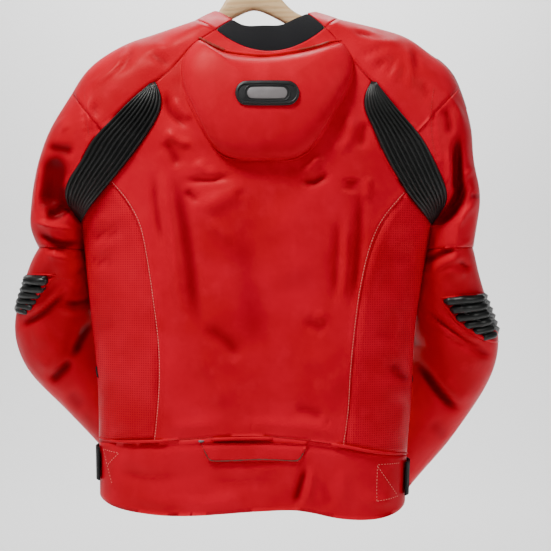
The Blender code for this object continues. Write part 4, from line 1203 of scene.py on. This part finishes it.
class Trim:
    """Thread, piping, teeth and the patch's inset, laid on the dressed pieces."""

    def __init__(self, surface: Surface, finishes: dict[str, bpy.types.Material]) -> None:
        """Keep the surface that the trim is laid on and the materials."""
        self.surface = surface
        self.finishes = finishes

    def lay(self) -> None:
        """Lay the stitches, the rolled bands and the frayed piping."""
        for name, finish, slot, strips in STRIPS:
            shape = Shape(name)
            for strip in strips:
                strip.lay(shape, self.surface)
            shape.build(self.finishes[finish], slot)

    def inset(self) -> None:
        """Set the grey plate and the raised rims into the rubber patch."""
        plate = Shape("patch_inset")
        plate.loft([self.surface.drape(stadium(*reach, 48), Facing.BACK, lift)[0]
                    for *reach, lift in INSET_OUTLINES])
        plate.build(self.finishes["reflective_inset"], "badge_rubber")
        rim = Shape("patch_rim")
        for *reach, radius in PATCH_RIMS:
            ring = self.surface.drape(stadium(*reach, 64), Facing.BACK, 0.1)[0]
            rim.tube(np.vstack([ring, ring[:2]]), radius * MM)
        rim.build(self.finishes["patch_rubber"], "badge_rubber")

    def teeth(self, name: str, line: Array, half_width: float, pitch: float) -> None:
        """Set two interlocking rows of zip teeth along a line on the front.

        Args:
            name: Name of the object.
            line: X and Z of the zip's middle line.
            half_width: Reach of a tooth from that line.
            pitch: Distance between two teeth of one row.
        """
        shape = Shape(name)
        points, normals = self.surface.drape(smooth_line(line, pitch / 2), Facing.FRONT, 0.1)
        for index in range(1, len(points) - 1):
            ahead = points[index + 1] - points[index - 1]
            ahead /= np.linalg.norm(ahead)
            side = np.cross(normals[index], ahead) * (1 if index % 2 else -1)
            root = points[index] + side * half_width * MM
            tip = points[index] - side * 0.5 * MM
            rings = []
            for place, (wide, high) in zip((root, (root + tip) / 2, tip), TOOTH_SECTIONS):
                corners = ((-wide, -0.3), (wide, -0.3), (wide * 0.7, high), (-wide * 0.7, high))
                rings.append(np.array([place + (a * ahead * pitch / 1.2 + b * normals[index]) * MM
                                       for a, b in corners]))
            shape.loft(rings)
        shape.build(self.finishes["zip_metal"], "zip_metal", smooth=False)


class Studio:
    """Camera, light and the plain pale stage, in metres and watts."""

    CAMERA = (0.0298, -1.8, -0.466)
    LENS = 87.8
    AIM = (0.02, 0.0, -0.45)
    # Each row: name, place, size, power and aim.
    LAMPS = (
        ("key", (-0.8, -0.95, 1.35), 0.5, 50.0, AIM),
        ("left", (-1.9, -1.6, 0.1), 0.8, 4.0, AIM),
        ("right", (1.7, -1.5, 0.5), 0.7, 14.0, AIM),
        ("wall", (0.0, 1.6, 1.8), 2.0, 150.0, (0.0, 3.2, -0.4)),
    )
    WORLD_STRENGTH = 0.10
    HALF_WIDTH, WALL, TOP, FLOOR, NEAR, BEND = 6.0, 3.2, 4.5, -1.15, -6.0, 0.9

    def build(self, material: bpy.types.Material) -> None:
        """Build the studio; the material is what the stage is painted with."""
        camera = bpy.data.objects.new("camera", bpy.data.cameras.new("camera"))
        camera.data.lens = self.LENS
        camera.data.sensor_width = 36.0
        camera.location = self.CAMERA
        camera.rotation_euler = (math.pi / 2, 0.0, 0.0)
        bpy.context.scene.collection.objects.link(camera)
        bpy.context.scene.camera = camera
        self.backdrop(material)
        for lamp in self.LAMPS:
            self.light(*lamp)
        world = bpy.data.worlds.new("soft light")
        bpy.context.scene.world = world
        world.use_nodes = True
        ground = world.node_tree.nodes["Background"]
        ground.inputs["Color"].default_value = (1.0, 1.0, 1.0, 1.0)
        ground.inputs["Strength"].default_value = self.WORLD_STRENGTH

    def light(self, name: str, place: Point, size: float, power: float, aim: Point) -> None:
        """Add a soft lamp at a place that looks at a point."""
        lamp = bpy.data.lights.new(name, "AREA")
        lamp.shape, lamp.size, lamp.energy = "DISK", size, power
        made = bpy.data.objects.new(name, lamp)
        made.location = place
        toward = Vector(aim) - Vector(place)
        made.rotation_euler = toward.to_track_quat("-Z", "Y").to_euler()
        bpy.context.scene.collection.objects.link(made)

    def backdrop(self, material: bpy.types.Material) -> None:
        """Hang one smooth sheet that runs from the wall to the floor."""
        profile = [(self.WALL, self.TOP), (self.WALL, 0.6)]
        profile += [(self.WALL - self.BEND + self.BEND * math.cos(turn),
                     self.FLOOR + self.BEND - self.BEND * math.sin(turn))
                    for turn in np.linspace(0.0, math.pi / 2, 10)]
        profile += [(self.NEAR, self.FLOOR)]
        points = [(side * self.HALF_WIDTH, y, z) for y, z in profile for side in (-1, 1)]
        faces = [(2 * i, 2 * i + 1, 2 * i + 3, 2 * i + 2) for i in range(len(profile) - 1)]
        mesh = bpy.data.meshes.new("stage")
        mesh.from_pydata(points, [], faces)
        mesh.materials.append(material)
        for face in mesh.polygons:
            face.use_smooth = True
        made = bpy.data.objects.new("stage", mesh)
        bpy.context.scene.collection.objects.link(made)


@dataclass(frozen=True)
class Cut:
    """A sewn piece: its CAD node, the side it is on, and the flat size it is cut to in metres."""

    node: str
    facing: Facing | None
    flat: tuple[float, float]
    area: float
    finish: str = "red_leather"
    levels: int = 2
    rough: float = 1.0
    press: float = 0.0


CUTS = (
    Cut("back_centre", Facing.BACK, (0.40, 0.56), 0.150, levels=3, rough=0.8),
    Cut("back_side_l", Facing.BACK, (0.16, 0.36), 0.043, "red_leather_perforated"),
    Cut("back_side_r", Facing.BACK, (0.17, 0.36), 0.044, "red_leather_perforated"),
    *(Cut(node, Facing.FRONT, (0.26, 0.54), 0.110) for node in ("front_l", "front_r")),
    *(Cut(node, None, (0.26, 0.24), 0.046) for node in ("shoulder_l", "shoulder_r")),
    *(Cut("sleeve_" + part + side, None, flat, area, levels=3, press=press)
      for part, flat, area in (("upper_", (0.42, 0.23), 0.060), ("lower_", (0.42, 0.34), 0.117))
      for side, press in (("l", 17.0), ("r", 25.0))),
    Cut("cuff_l", None, (0.22, 0.035), 0.0062),
    Cut("cuff_r", None, (0.22, 0.035), 0.0060),
    Cut("collar_l", None, (0.16, 0.06), 0.0079, rough=0.4),
    Cut("collar_r", None, (0.16, 0.06), 0.0078, rough=0.4),
    Cut("waistband_back", Facing.BACK, (0.48, 0.11), 0.047, levels=3, rough=1.2),
    Cut("waistband_front_l", Facing.FRONT, (0.23, 0.075), 0.0163),
    Cut("waistband_front_r", Facing.FRONT, (0.23, 0.075), 0.0151),
    Cut("waist_tab", Facing.BACK, (0.14, 0.026), 0.0034, rough=0.3),
)

# Each row: finish, slot, refining and the nodes that are dressed so.
OTHERS = (
    ("ribbed_leather", "stretch_black", Refining(valley=0.6),
     ("shoulder_stretch_l", "shoulder_stretch_r")),
    ("ribbed_leather", "stretch_black", Refining(valley=0.7),
     ("elbow_stretch_l", "elbow_stretch_r")),
    ("collar_cloth", "collar_black", Refining(3, rim=0.3), ("collar_back",)),
    ("red_leather", "red_leather", Refining(3, rim=0.3), ("hump",)),
    ("patch_rubber", "badge_rubber", Refining(rim=0.5), ("hump_badge",)),
    ("woven_tape", "webbing_black", Refining(),
     ("side_strap_l", "side_strap_r", "pocket_zip_l", "pocket_zip_r", "main_zip")),
    ("plate_plastic", "plate_black", Refining(rim=0.4), ("shoulder_plate_l", "shoulder_plate_r")),
    ("hanger_wood", "hanger_wood", Refining(rim=0.0), ("hanger_body",)),
    ("hook_steel", "hook_steel", Refining(1, rim=0.0), ("hanger_hook",)),
)

ELBOW_SHIFT = {"elbow_stretch_l": 3.0, "elbow_stretch_r": -3.0}


class Jacket:
    """The dressed jacket on its hanger."""

    def __init__(self, frame: dict, finishes: dict[str, bpy.types.Material]) -> None:
        self.frame = frame
        self.finishes = finishes
        self.pieces: dict[str, bpy.types.Object] = {}

    def dress(self) -> None:
        """Dress every node."""
        self.dress_leather()
        self.dress_others()
        self.paint_metal()
        trim = Trim(Surface(self.pieces.values()), self.finishes)
        trim.lay()
        trim.inset()
        for node, half_width, pitch in ZIPS:
            tape = Trim(Surface([self.pieces[node]]), self.finishes)
            tape.teeth("teeth_" + node, self.spine(node), half_width, pitch)

    def dress_leather(self) -> None:
        """Replace each leather solid by its folded, seamed copy."""
        for cut in CUTS:
            piece = Piece(cut.node, self.frame, Refining(cut.levels))
            piece.fold(FOLDS, cut.facing, cut.rough)
            if cut.press:
                piece.press(cut.press)
            made = piece.finish(self.finishes[cut.finish], "red_leather")
            self.pieces[cut.node] = made

    def dress_others(self) -> None:
        """Replace the ribbed panels, the collar, the hump, the trim and the hanger."""
        for finish, slot, how, nodes in OTHERS:
            for node in nodes:
                piece = Piece(node, self.frame, how)
                if "shoulder_stretch" in node:
                    piece.sharpen()
                piece.coords[:, 0] += ELBOW_SHIFT.get(node, 0.0)
                made = piece.finish(self.finishes[finish], slot)
                self.pieces[node] = made

    def spine(self, node: str) -> Array:
        """Give the middle line of a long flat node, X and Z in millimetres."""
        coords = np.array([v.co for v in self.frame["nodes"][node].data.vertices])[:, [0, 2]] / MM
        middle = coords.mean(axis=0)
        _, _, axes = np.linalg.svd(coords - middle, full_matrices=False)
        along = (coords - middle) @ axes[0]
        bins = np.linspace(along.min(), along.max(), SPINE_BINS)
        line = []
        for low, high in zip(bins, bins[1:]):
            near = coords[(along >= low - SPINE_MARGIN) & (along <= high + SPINE_MARGIN)]
            if len(near):
                line.append((near.max(axis=0) + near.min(axis=0)) / 2)
        return np.array(line)

    def paint_metal(self) -> None:
        """Give the zip's slider and pull their metal."""
        for node in ("zip_slider", "zip_pull"):
            mesh = self.frame["nodes"][node].data
            mesh.materials.clear()
            mesh.materials.append(self.finishes["zip_metal"])


def main() -> None:
    """Load the frame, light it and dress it."""
    logging.basicConfig(level=logging.INFO)
    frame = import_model()
    finishes = {recipe.name: recipe.build() for recipe in RECIPES}
    Studio().build(finishes["pale_stage"])
    Jacket(frame, finishes).dress()


if __name__ == "__main__":
    main()
